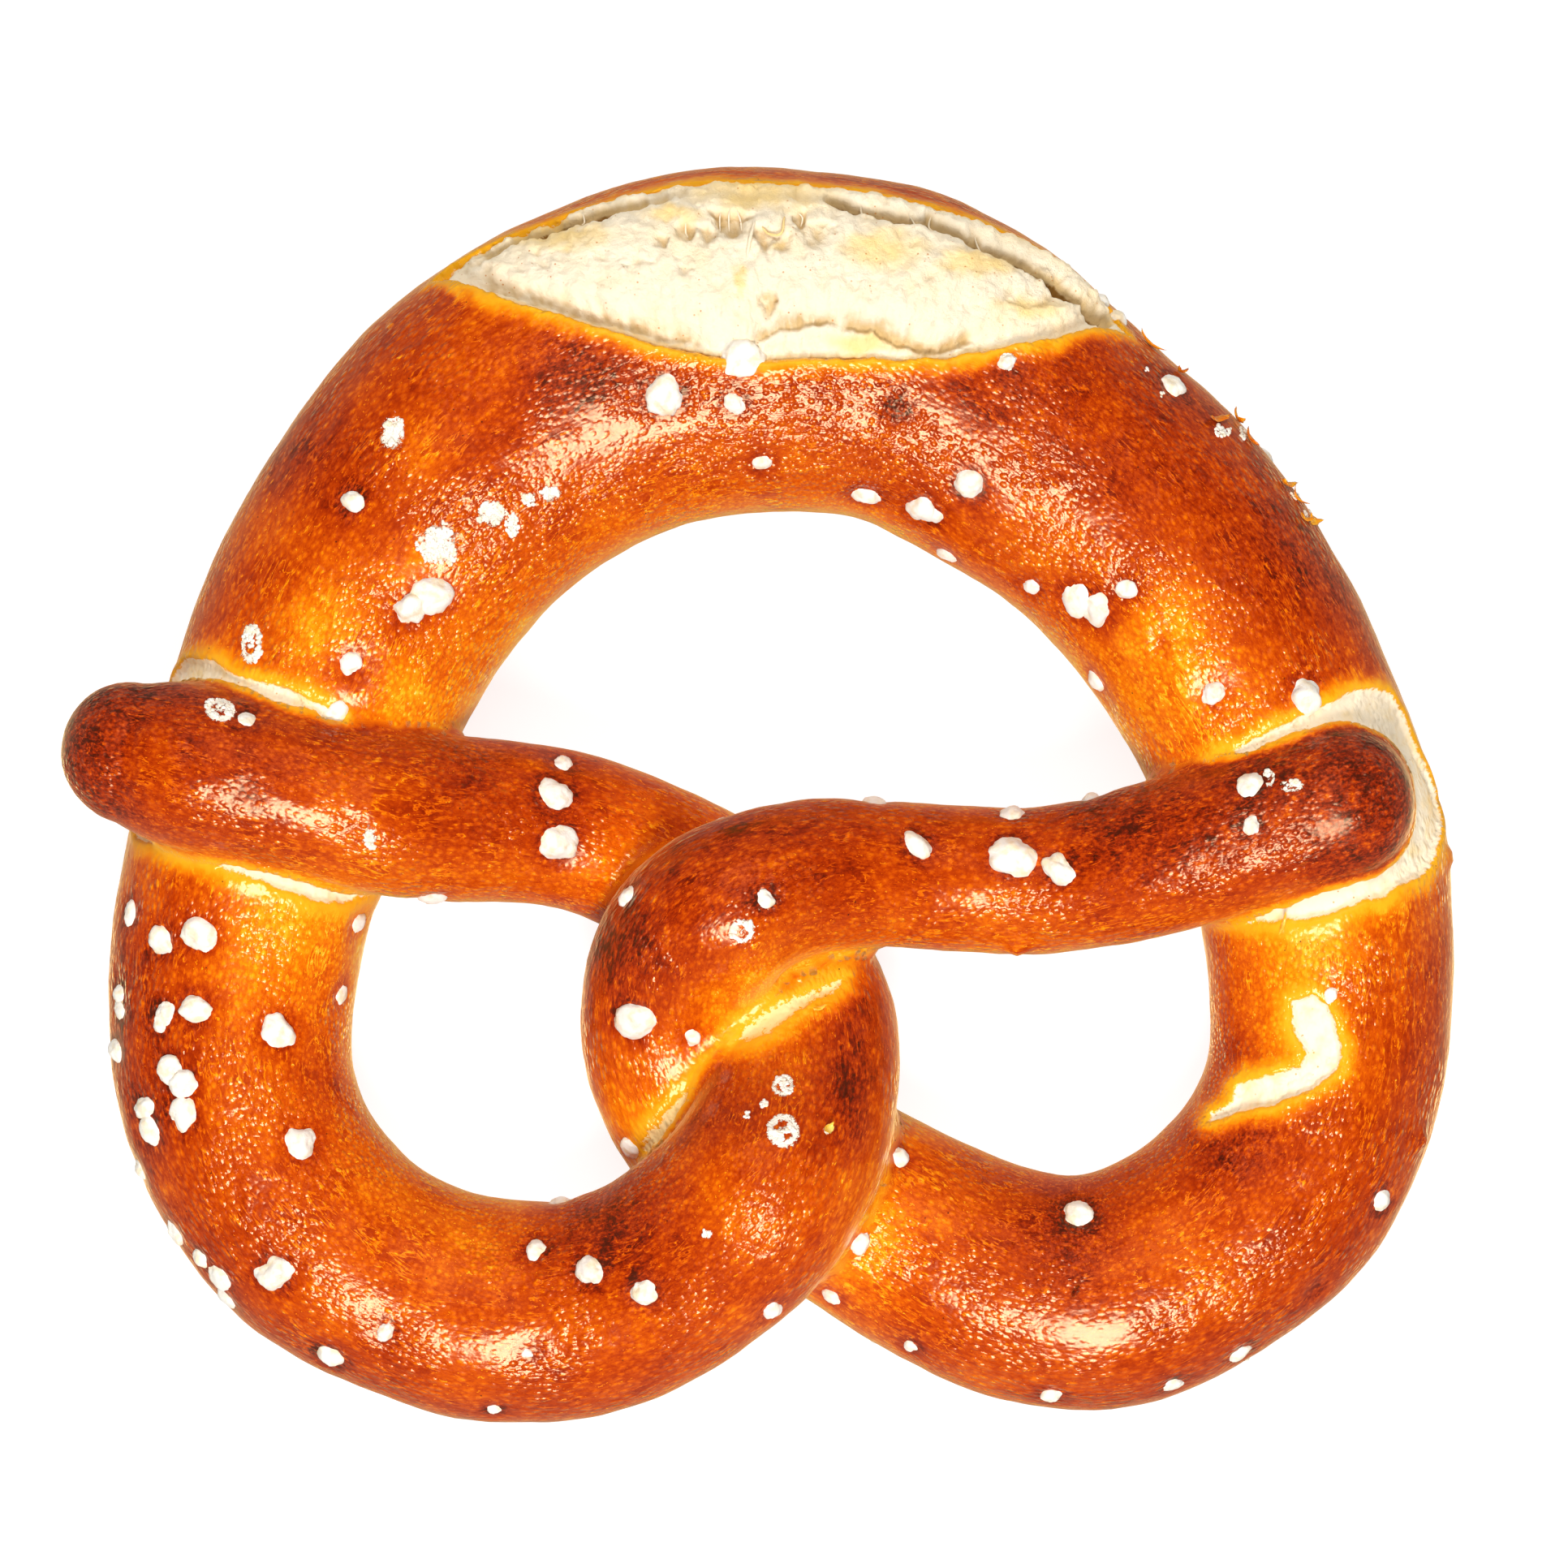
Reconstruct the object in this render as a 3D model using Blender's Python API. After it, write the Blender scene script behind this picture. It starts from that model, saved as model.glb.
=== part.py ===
"""A soft pretzel, baked as one rope of dough: a thick belly, two lower loops, a twist of two crossings,
and two arms whose round tips rest on the sides of the belly. The belly has burst open along its top.

Metres, +Z up. The origin is on the table under the middle of the pretzel's box. +Y points to the belly.
Run it with: blender --background --python part.py
"""

import math

import bmesh
import bpy
import numpy as np

# Driving dimensions
PRETZEL_WIDTH = 0.160  # from the left tip to the right side, as baked
BASE_SINK = 0.0018  # how much of the rope's round underside is flattened on the baking tray
SLUMP = 0.083  # a rope of this half-width would slump flat: thick dough slumps more than thin dough
RELIEF = 0.0016  # how far the torn crumb lies below the crust beside it

# Mesh density
SIDES = 28  # points round the rope
RINGS = 152  # sections along the rope
CAP_RINGS = 5  # further sections that round each tip

# The rope's route as millimetres, from the left tip to the right tip: x, y, half-width, and lift,
# which is how far the underside is raised off the table.
ROUTE_MM = (
    # Left arm, from its tip on the belly to the twist
    (-73.0, 5.0, 7.0, 16.0),
    (-64.0, 3.0, 9.2, 16.0),
    (-52.5, 0.6, 10.5, 15.5),
    (-41.0, -2.0, 9.9, 13.0),
    (-30.0, -3.0, 9.1, 8.0),
    (-19.5, -4.8, 8.9, 4.0),
    (-10.0, -8.9, 9.2, 1.0),
    # Twist: under the right arm's rope, then over it
    (-1.0, -15.5, 9.7, 0.5),
    (4.8, -25.5, 10.8, 4.0),
    (3.8, -37.5, 11.6, 11.0),
    (-2.2, -47.8, 12.0, 12.0),
    (-13.5, -56.5, 12.2, 5.0),
    # Left lower loop
    (-28.8, -59.8, 12.8, 0.0),
    (-43.4, -55.8, 13.0, 0.0),
    (-54.5, -47.0, 13.4, 0.0),
    (-60.6, -34.0, 13.6, 0.0),
    (-60.8, -20.5, 14.2, 0.0),
    (-58.2, -7.8, 14.9, 0.0),
    # Belly
    (-54.0, 5.0, 16.0, 0.0),
    (-48.8, 17.2, 17.0, 0.0),
    (-41.0, 30.3, 18.0, 0.0),
    (-28.8, 42.8, 19.1, 0.0),
    (-13.5, 50.5, 19.8, 0.0),
    (2.0, 52.4, 20.0, 0.0),
    (17.4, 49.8, 19.2, 0.0),
    (31.3, 41.4, 17.5, 0.0),
    (43.8, 31.0, 16.5, 0.0),
    (53.2, 18.6, 16.1, 0.0),
    (59.6, 6.6, 15.6, 0.0),
    (64.2, -5.6, 15.1, 0.0),
    # Right lower loop
    (65.8, -18.8, 14.4, 0.0),
    (65.0, -33.0, 13.8, 0.0),
    (58.5, -46.0, 13.7, 0.0),
    (47.0, -55.0, 13.5, 0.0),
    (33.8, -57.5, 13.2, 0.0),
    (20.5, -52.8, 12.7, 0.0),
    (9.0, -46.2, 12.2, 0.0),
    # Twist: under the left arm's rope, then over it
    (-3.6, -39.0, 11.4, 0.0),
    (-9.5, -29.0, 10.8, 3.0),
    (-8.4, -18.5, 10.5, 10.0),
    (-1.0, -11.2, 9.7, 14.0),
    (11.0, -9.0, 8.7, 11.0),
    (22.5, -9.6, 8.5, 8.0),
    # Right arm, from the twist to its tip on the belly
    (34.0, -9.4, 8.7, 8.0),
    (45.0, -7.4, 9.2, 12.0),
    (56.5, -4.4, 9.6, 15.0),
    (65.8, -0.8, 9.0, 15.5),
)

# Angles round the rope are in degrees: 0 is the belly's outer side, 90 its top and 180 its inner side.
# The burst is a lens between a straight outer lip and a bowed one that opens over the belly's top.
BURST_START, BURST_END = 21.15, 25.15  # stations
BURST_LIP = 21.0
BURST_OPENING = 77.0
# Each arm's tip has torn the crust of the belly across: the stations of the two lips, and the angles
# over which the tear runs out at its ends.
TIP_TEARS = ((16.9, 18.4, 2.0, 150.0), (27.95, 29.5, -20.0, 160.0))
TEAR_FADE = 14.0
LIP_WIDTH = 0.06  # of a station, from the crust's edge to the foot of the lip


def spline_through(values, at):
    """The natural cubic spline through evenly numbered stations, read at station numbers `at`."""
    values = np.asarray(values, float)
    count = len(values)
    system = np.diag(np.full(count, 4.0)) + np.diag(np.ones(count - 1), 1) + np.diag(np.ones(count - 1), -1)
    system[0, :2] = 1, 0
    system[-1, -2:] = 0, 1
    bends = np.zeros_like(values)
    bends[1:-1] = 6 * (values[2:] - 2 * values[1:-1] + values[:-2])
    bends = np.linalg.solve(system, bends)
    low = np.clip(np.floor(at).astype(int), 0, count - 2)
    after = (at - low)[:, None]
    before = 1 - after
    return (
        values[low] * before
        + values[low + 1] * after
        + bends[low] * (before**3 - before) / 6
        + bends[low + 1] * (after**3 - after) / 6
    )


def torn_share(station, angles):
    """How far the crust has gone at the arms' tips: 0 on whole crust, 1 on the crumb of a tear."""
    degrees = (np.degrees(angles) + 90) % 360 - 90
    share = np.zeros(len(angles))
    for start, end, low, high in TIP_TEARS:
        if start < station < end:
            share += np.clip((np.minimum(degrees - low, high - degrees)) / TEAR_FADE, 0, 1)
    return share


def ring_stations(last):
    """Evenly spaced sections, with a close pair more at each lip of a tear."""
    even = np.linspace(0, last, RINGS)
    lips = np.array([lip for tear in TIP_TEARS for lip in tear[:2]])
    pairs = np.concatenate([lips - LIP_WIDTH / 2, lips + LIP_WIDTH / 2])
    clear = np.abs(even[:, None] - lips[None, :]).min(axis=1) > LIP_WIDTH
    return np.sort(np.concatenate([even[clear], pairs]))


class Rope:
    """The dough rope as a surface: a point on it is given by a station number and an angle round it."""

    def __init__(self):
        self.route = np.array(ROUTE_MM) / 1000
        self.last = len(self.route) - 1.0

    def sections(self, stations):
        """Centre, sideways direction, half-width and half-height of the section at each station."""
        stations = np.clip(np.asarray(stations, float), 0, self.last)
        x, y, half_width, lift = spline_through(self.route, stations).T
        step = 0.01
        ahead = spline_through(self.route, np.clip(stations + step, 0, self.last))[:, :2]
        behind = spline_through(self.route, np.clip(stations - step, 0, self.last))[:, :2]
        along = ahead - behind
        along /= np.linalg.norm(along, axis=1)[:, None]
        sideways = np.stack([-along[:, 1], along[:, 0], np.zeros(len(along))], axis=1)
        half_height = half_width * (1.02 - half_width / SLUMP)
        lift = np.maximum(lift, 0)
        centre = np.stack([x, y, lift + half_height - BASE_SINK], axis=1)
        forward = np.stack([along[:, 0], along[:, 1], np.zeros(len(along))], axis=1)
        return centre, sideways, forward, half_width, half_height

    def points(self, stations, angles, swell):
        """Points at angles in radians round the sections, `swell` metres proud of the crust."""
        centre, sideways, _, half_width, half_height = self.sections(stations)
        out = (half_width + swell) * np.cos(angles)
        up = (half_height + swell) * np.sin(angles)
        return centre + sideways * out[:, None] + np.array([0, 0, 1]) * up[:, None]

    def ring(self, station):
        angles = np.linspace(0, 2 * math.pi, SIDES, endpoint=False)
        return self.points(np.full(SIDES, station), angles, -RELIEF * torn_share(station, angles))

    def tip_rings(self, station, outwards):
        """Sections that shrink to a round end beyond the first or last station."""
        centre, _, forward, half_width, _ = self.sections([station])
        body = self.ring(station)
        rings = []
        for turn in np.linspace(0, math.pi / 2, CAP_RINGS + 1, endpoint=False)[1:]:
            shrunk = centre + (body - centre) * math.cos(turn)
            rings.append(shrunk + forward * outwards * half_width * math.sin(turn))
        pole = centre[0] + forward[0] * outwards * half_width[0]
        return rings, pole


def add_grid(bm, rows, closed):
    """Quads between successive rows of vertices; `closed` rows go all the way round."""
    span = len(rows[0]) if closed else len(rows[0]) - 1
    for lower, upper in zip(rows, rows[1:]):
        for i in range(span):
            j = (i + 1) % len(lower)
            bm.faces.new((lower[i], upper[i], upper[j], lower[j]))


def object_from(bm, name, collection):
    """A bmesh made into an object, with its normals facing out."""
    bmesh.ops.recalc_face_normals(bm, faces=bm.faces)
    mesh = bpy.data.meshes.new(name)
    bm.to_mesh(mesh)
    bm.free()
    made = bpy.data.objects.new(name, mesh)
    collection.objects.link(made)
    return made


def rope_object(rope, collection):
    """The whole rope as a closed loft with round tips, still passing through itself where it crosses."""
    bm = bmesh.new()
    first_rings, first_pole = rope.tip_rings(0.0, -1)
    last_rings, last_pole = rope.tip_rings(rope.last, 1)
    body = [rope.ring(station) for station in ring_stations(rope.last)]
    rows = [[bm.verts.new(point) for point in ring] for ring in [*reversed(first_rings), *body, *last_rings]]
    add_grid(bm, rows, closed=True)
    for row, pole in ((rows[0], first_pole), (rows[-1], last_pole)):
        tip = bm.verts.new(pole)
        for i, vertex in enumerate(row):
            bm.faces.new((vertex, row[(i + 1) % SIDES], tip))
    return object_from(bm, "pretzel", collection)


def burst_cutter(rope, collection):
    """A lens-shaped slab that straddles the belly's crust between a straight lip and a bowed one."""
    across, steps = 8, 18
    above = 0.004
    bm = bmesh.new()
    shells = []
    for swell in (above, -RELIEF):
        rows = []
        for share in np.linspace(0, 1, steps):
            station = BURST_START + (BURST_END - BURST_START) * share
            opening = BURST_OPENING * math.sqrt(math.sin(math.pi * (0.003 + 0.994 * share)))
            angles = np.radians(np.linspace(BURST_LIP, BURST_LIP + opening, across))
            points = rope.points(np.full(across, station), angles, swell)
            rows.append([bm.verts.new(point) for point in points])
        add_grid(bm, rows, closed=False)
        shells.append(rows)
    outer, inner = shells
    for edge_outer, edge_inner in ((outer[0], inner[0]), (outer[-1], inner[-1])):
        add_grid(bm, [edge_outer, edge_inner], closed=False)
    for side in (0, -1):
        add_grid(bm, [[row[side] for row in outer], [row[side] for row in inner]], closed=False)
    return object_from(bm, "burst_cutter", collection)


def tray_cutter(collection):
    """The block under the table plane that trims the rope's underside flat."""
    depth = 0.02
    bm = bmesh.new()
    bmesh.ops.create_cube(bm, size=1.0)
    bmesh.ops.scale(bm, vec=(2 * PRETZEL_WIDTH, 2 * PRETZEL_WIDTH, depth), verts=bm.verts)
    bmesh.ops.translate(bm, vec=(0, 0, -depth / 2), verts=bm.verts)
    return object_from(bm, "tray_cutter", collection)


def crust_material():
    material = bpy.data.materials.new("baked_crust")
    material.use_nodes = True
    shader = material.node_tree.nodes["Principled BSDF"]
    shader.inputs["Base Color"].default_value = (0.53, 0.17, 0.03, 1)
    shader.inputs["Roughness"].default_value = 0.35
    shader.inputs["Metallic"].default_value = 0.0
    return material


def new_collection(name):
    collection = bpy.data.collections.new(name)
    bpy.context.scene.collection.children.link(collection)
    return collection


def main():
    for old in list(bpy.data.objects):
        bpy.data.objects.remove(old)
    parts = new_collection("soft_pretzel")
    cutters = new_collection("cutters")
    rope = Rope()
    pretzel = rope_object(rope, parts)
    pretzel.data.materials.append(crust_material())
    tray, burst = tray_cutter(cutters), burst_cutter(rope, cutters)
    for cutter in (tray, burst):
        cutter.hide_render = True
        cutter.display_type = "WIRE"
        cut = pretzel.modifiers.new(cutter.name, "BOOLEAN")
        cut.operation = "DIFFERENCE"
        cut.object = cutter
        cut.use_self = cutter is tray  # this cut also fuses the rope where it crosses itself
    pretzel.data.shade_smooth()


main()
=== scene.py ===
"""A soft pretzel with its crust, torn crumb and coarse salt, on a pale floor under soft studio light.

The crust is one rope of dough, lofted along the same stations as the CAD part and fused where it crosses
itself. Everything is worked out in millimetres and written to Blender in metres.
"""

import math

import bmesh
import bpy
import numpy as np
from mathutils import Matrix, Vector, noise
from mathutils.bvhtree import BVHTree


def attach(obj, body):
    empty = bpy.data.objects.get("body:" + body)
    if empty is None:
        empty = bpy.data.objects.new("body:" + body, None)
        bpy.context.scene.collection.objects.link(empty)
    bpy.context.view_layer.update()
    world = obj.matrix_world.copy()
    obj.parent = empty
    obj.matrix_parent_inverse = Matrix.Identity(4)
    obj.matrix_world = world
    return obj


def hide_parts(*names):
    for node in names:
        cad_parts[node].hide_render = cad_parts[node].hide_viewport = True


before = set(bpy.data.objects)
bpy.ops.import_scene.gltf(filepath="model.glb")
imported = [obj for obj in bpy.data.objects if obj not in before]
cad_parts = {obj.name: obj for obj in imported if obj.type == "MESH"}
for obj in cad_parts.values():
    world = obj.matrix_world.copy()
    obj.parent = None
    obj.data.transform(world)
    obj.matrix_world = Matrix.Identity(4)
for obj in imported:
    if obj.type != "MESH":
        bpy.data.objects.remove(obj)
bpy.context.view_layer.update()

MM = 0.001

# The camera looks straight down on the middle of the frame. Places on top of the pretzel are given as they
# look from there: x and y in millimetres on the level of the pretzel's outline.
CAMERA_X = 2.7
CAMERA_Y = 1.4
CAMERA_HEIGHT = 900.0
OUTLINE_LEVEL = 16.0
FRAME_WIDTH = 180.3

# The dough rope, as in the CAD part
BASE_SINK = 1.8
SLUMP = 83.0
ROUTE = (
    # Left arm, from its tip on the belly to the twist: x, y, half-width, lift off the table
    (-72.0, 5.1, 7.9, 16.0),
    (-64.0, 3.3, 9.5, 16.0),
    (-52.5, 0.5, 9.3, 15.8),
    (-41.0, -2.0, 9.6, 13.0),
    (-30.0, -3.0, 9.1, 8.0),
    (-19.5, -4.8, 8.9, 4.0),
    (-10.0, -8.9, 9.2, 1.0),
    # Twist: under the right arm's rope, then over it
    (-1.0, -15.5, 9.7, 0.5),
    (4.8, -25.5, 10.8, 4.0),
    (3.8, -37.5, 11.6, 11.0),
    (-2.2, -47.8, 12.0, 12.0),
    (-13.5, -56.5, 12.2, 5.0),
    # Left lower loop
    (-28.8, -59.8, 12.8, 0.0),
    (-43.4, -55.8, 13.0, 0.0),
    (-54.5, -47.0, 13.4, 0.0),
    (-60.6, -34.0, 13.6, 0.0),
    (-60.8, -20.5, 14.2, 0.0),
    (-58.2, -7.8, 14.9, 0.0),
    # Belly
    (-54.0, 5.0, 16.0, 0.0),
    (-48.8, 17.2, 17.0, 0.0),
    (-41.0, 30.3, 18.0, 0.0),
    (-28.8, 42.8, 19.1, 0.0),
    (-13.5, 50.5, 19.8, 0.0),
    (2.0, 52.4, 20.0, 0.0),
    (17.4, 49.8, 19.2, 0.0),
    (31.3, 41.4, 17.5, 0.0),
    (43.8, 31.0, 16.5, 0.0),
    (53.2, 18.6, 16.1, 0.0),
    (59.6, 6.6, 15.6, 0.0),
    (64.2, -5.6, 15.1, 0.0),
    # Right lower loop
    (65.8, -18.8, 14.4, 0.0),
    (65.0, -33.0, 13.8, 0.0),
    (58.5, -46.0, 13.7, 0.0),
    (47.0, -55.0, 13.5, 0.0),
    (33.8, -57.5, 13.2, 0.0),
    (20.5, -52.8, 12.7, 0.0),
    (9.0, -46.2, 12.2, 0.0),
    # Twist again, under and over the left strand
    (-3.6, -39.0, 11.4, 0.0),
    (-9.5, -29.0, 10.8, 3.0),
    (-8.4, -18.5, 10.5, 10.0),
    (-1.0, -11.2, 9.7, 14.0),
    (11.0, -9.0, 8.7, 11.0),
    (22.5, -9.6, 8.5, 8.0),
    # Right arm, out to its tip on the belly
    (34.0, -9.4, 8.7, 8.0),
    (45.0, -7.1, 8.8, 12.0),
    (56.5, -3.8, 8.9, 15.0),
    (65.8, -0.8, 9.0, 15.5),
)

# Mesh density
LOFT_RINGS = 400
LOFT_SIDES = 72
CAP_RINGS = 14
VOXEL = 1.0


def smoothstep(low, high, value):
    share = np.clip((np.asarray(value, float) - low) / (high - low), 0, 1)
    return share * share * (3 - 2 * share)


def spline_through(values, at):
    """The natural cubic spline through evenly numbered stations, read at station numbers `at`."""
    values = np.asarray(values, float)
    count = len(values)
    system = np.diag(np.full(count, 4.0)) + np.diag(np.ones(count - 1), 1) + np.diag(np.ones(count - 1), -1)
    system[0, :2] = 1, 0
    system[-1, -2:] = 0, 1
    bends = np.zeros_like(values)
    bends[1:-1] = 6 * (values[2:] - 2 * values[1:-1] + values[:-2])
    bends = np.linalg.solve(system, bends)
    low = np.clip(np.floor(at).astype(int), 0, count - 2)
    after = (at - low)[:, None]
    before = 1 - after
    return (
        values[low] * before
        + values[low + 1] * after
        + bends[low] * (before**3 - before) / 6
        + bends[low + 1] * (after**3 - after) / 6
    )


class Rope:
    """The rope as a surface: a point on it is given by a station number and an angle round the section.

    Angle 0 is the outer side, 90 degrees the top and 180 degrees the inner side of the pretzel.
    """

    def __init__(self):
        self.route = np.array(ROUTE)
        self.last = len(self.route) - 1.0
        at = np.linspace(0, self.last, 2000)
        path = spline_through(self.route, at)[:, :2]
        steps = np.linalg.norm(np.diff(path, axis=0), axis=1)
        self.length_at = (at, np.concatenate([[0], np.cumsum(steps)]))

    def sections(self, stations):
        """Centre, sideways and forward directions, half-width and half-height at each station."""
        stations = np.clip(np.asarray(stations, float), 0, self.last)
        x, y, half_width, lift = spline_through(self.route, stations).T
        step = 0.01
        ahead = spline_through(self.route, np.clip(stations + step, 0, self.last))[:, :2]
        behind = spline_through(self.route, np.clip(stations - step, 0, self.last))[:, :2]
        along = ahead - behind
        along /= np.linalg.norm(along, axis=1)[:, None]
        level = np.zeros(len(along))
        sideways = np.stack([-along[:, 1], along[:, 0], level], axis=1)
        forward = np.stack([along[:, 0], along[:, 1], level], axis=1)
        half_height = half_width * (1.02 - half_width / SLUMP)
        lift = (lift + np.sqrt(lift**2 + 1)) / 2 - 0.5
        centre = np.stack([x, y, lift + half_height - BASE_SINK], axis=1)
        return centre, sideways, forward, half_width, half_height

    def points(self, stations, angles, swell=0.0):
        """Points at angles in radians round the sections, `swell` millimetres proud of the crust."""
        centre, sideways, _, half_width, half_height = self.sections(stations)
        out = (half_width + swell) * np.cos(angles)
        up = (half_height + swell) * np.sin(angles)
        return centre + sideways * out[:, None] + np.array([0, 0, 1]) * up[:, None]

    def arc_length(self, stations):
        return np.interp(stations, *self.length_at)

    def settle(self, points, stations):
        """Station, angle and nearest point on the rope for points that lie close to it."""
        stations = np.array(stations, float)
        for _ in range(4):
            centre, _, forward, _, _ = self.sections(stations)
            ahead = ((points - centre) * forward).sum(1)
            spacing = np.interp(stations, self.length_at[0][1:], np.diff(self.length_at[1]))
            spacing *= (len(self.length_at[0]) - 1) / self.last
            stations = np.clip(stations + ahead / spacing, 0, self.last)
        centre, sideways, forward, half_width, half_height = self.sections(stations)
        away = points - centre
        beyond = (away * forward).sum(1)
        beyond[(stations > 0.001) & (stations < self.last - 0.001)] = 0
        out = (away * sideways).sum(1)
        up = away[:, 2]
        size = np.sqrt((beyond / half_width) ** 2 + (out / half_width) ** 2 + (up / half_height) ** 2)
        size = np.maximum(size, 0.05)
        nearest = centre + (forward * beyond[:, None] + sideways * out[:, None]) / size[:, None]
        nearest[:, 2] += up / size
        angles = np.arctan2(up / half_height, out / half_width)
        return stations, angles, nearest, size


def loft(rope):
    """The rope as rings of points with round tips: the points, the faces, and the station of each face."""
    angles = np.linspace(0, 2 * math.pi, LOFT_SIDES, endpoint=False)
    stations = np.linspace(0, rope.last, LOFT_RINGS)
    body = [rope.points(np.full(LOFT_SIDES, station), angles) for station in stations]

    def cap(station, ring, outwards):
        centre, _, forward, half_width, _ = rope.sections([station])
        rings = []
        for turn in np.linspace(0, math.pi / 2, CAP_RINGS + 1)[1:]:
            shrunk = centre + (ring - centre) * max(math.cos(turn), 0.002)
            rings.append(shrunk + forward * outwards * half_width * math.sin(turn))
        return rings

    first = cap(0.0, body[0], -1)[::-1]
    last = cap(rope.last, body[-1], 1)
    rings = first + body + last
    ring_station = np.concatenate([np.zeros(CAP_RINGS), stations, np.full(CAP_RINGS, rope.last)])
    faces = []
    face_station = []
    for i in range(len(rings) - 1):
        for j in range(LOFT_SIDES):
            k = (j + 1) % LOFT_SIDES
            base, above = i * LOFT_SIDES, (i + 1) * LOFT_SIDES
            faces.append((base + j, above + j, above + k, base + k))
            face_station.append((ring_station[i] + ring_station[i + 1]) / 2)
    faces.append(tuple(range(LOFT_SIDES)))
    faces.append(tuple(reversed(range((len(rings) - 1) * LOFT_SIDES, len(rings) * LOFT_SIDES))))
    face_station += [0.0, rope.last]
    return np.concatenate(rings), faces, np.array(face_station)


def remeshed(points, faces):
    """The lofted rope fused into one skin by a voxel remesh."""
    mesh = bpy.data.meshes.new("loft")
    mesh.from_pydata(points.tolist(), [], faces)
    made = bpy.data.objects.new("loft", mesh)
    bpy.context.scene.collection.objects.link(made)
    modifier = made.modifiers.new("fuse", "REMESH")
    modifier.mode = "VOXEL"
    modifier.voxel_size = VOXEL
    evaluated = made.evaluated_get(bpy.context.evaluated_depsgraph_get())
    fused = bpy.data.meshes.new_from_object(evaluated)
    bpy.data.objects.remove(made)
    bpy.data.meshes.remove(mesh)
    return fused


class Strands:
    """Finds the station of a point, and how far it is from any other stretch of the rope."""

    BLOCK = 6.0
    APART = 3.6

    def __init__(self, rope, points, faces, face_station):
        self.rope = rope
        self.face_station = face_station
        self.whole = BVHTree.FromPolygons(points.tolist(), faces)
        self.others = []
        for low in np.arange(0, rope.last, self.BLOCK):
            far = (face_station < low - self.APART) | (face_station > low + self.BLOCK + self.APART)
            chosen = [faces[i] for i in np.flatnonzero(far)]
            self.others.append(BVHTree.FromPolygons(points.tolist(), chosen))

    def locate(self, points):
        stations = np.empty(len(points))
        for i, point in enumerate(points.tolist()):
            stations[i] = self.face_station[self.whole.find_nearest(point)[2]]
        return self.rope.settle(points, stations)

    def crease(self, points, stations, reach=12.0):
        """Distance to the nearest other stretch of the rope, at most `reach`."""
        result = np.full(len(points), reach)
        blocks = np.minimum(stations // self.BLOCK, len(self.others) - 1).astype(int)
        for i, point in enumerate(points.tolist()):
            hit = self.others[blocks[i]].find_nearest(point, reach)
            if hit[0] is not None:
                result[i] = hit[3]
        return result


def mesh_points(mesh):
    flat = np.empty(len(mesh.vertices) * 3)
    mesh.vertices.foreach_get("co", flat)
    return flat.reshape(-1, 3)


def mesh_normals(mesh):
    flat = np.empty(len(mesh.vertices) * 3)
    mesh.vertex_normals.foreach_get("vector", flat)
    return flat.reshape(-1, 3)


def mesh_edges(mesh):
    flat = np.empty(len(mesh.edges) * 2, dtype=np.int64)
    mesh.edges.foreach_get("vertices", flat)
    return flat.reshape(-1, 2)


def relaxed(points, edges, weights, rounds):
    """Laplacian smoothing, by each point's own weight."""
    degree = np.bincount(edges.ravel(), minlength=len(points))[:, None]
    for _ in range(rounds):
        total = np.zeros_like(points)
        np.add.at(total, edges[:, 0], points[edges[:, 1]])
        np.add.at(total, edges[:, 1], points[edges[:, 0]])
        points = points + (total / degree - points) * weights[:, None]
    return points


# ---------------------------------------------------------------- places seen from above


def camera_point():
    return np.array([CAMERA_X, CAMERA_Y, CAMERA_HEIGHT])


def as_seen(points):
    """Where points appear from the camera, on the level of the pretzel's outline."""
    camera = camera_point()
    away = points - camera
    share = (OUTLINE_LEVEL - CAMERA_HEIGHT) / away[:, 2]
    return (camera + away * share[:, None])[:, :2]


def inside_distance(seen, outline):
    """Signed distance of seen places from a closed outline, positive inside it."""
    outline = np.asarray(outline, float)
    after = np.roll(outline, -1, axis=0)
    nearest = np.full(len(seen), 1e9)
    inside = np.zeros(len(seen), bool)
    for start, end in zip(outline, after):
        nearest = np.minimum(nearest, segment_distance(seen, start, end))
        crosses = (start[1] > seen[:, 1]) != (end[1] > seen[:, 1])
        rise = end[1] - start[1] if end[1] != start[1] else 1e-9
        at = start[0] + (seen[:, 1] - start[1]) / rise * (end[0] - start[0])
        inside ^= crosses & (seen[:, 0] < at)
    return np.where(inside, nearest, -nearest)


def segment_distance(seen, start, end):
    along = end - start
    share = np.clip(((seen - start) @ along) / max(along @ along, 1e-9), 0, 1)
    return np.linalg.norm(seen - start - share[:, None] * along, axis=1)


def line_distance(seen, line):
    """Distance of seen places from an open line of points."""
    line = np.asarray(line, float)
    return np.min([segment_distance(seen, a, b) for a, b in zip(line, line[1:])], axis=0)


def noise_at(points, scale, octaves=3, seed=0.0, stretch=(1, 1, 1)):
    """Fractal noise of about -1 to 1 at points in millimetres; `scale` is the size of a lump."""
    shifted = points * (np.array(stretch) / scale) + np.array([seed, seed * 1.7, -seed])
    values = [noise.fractal(point, 1.0, 2.0, octaves) for point in shifted.tolist()]
    return np.array(values)


# ---------------------------------------------------------------- torn places

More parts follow.
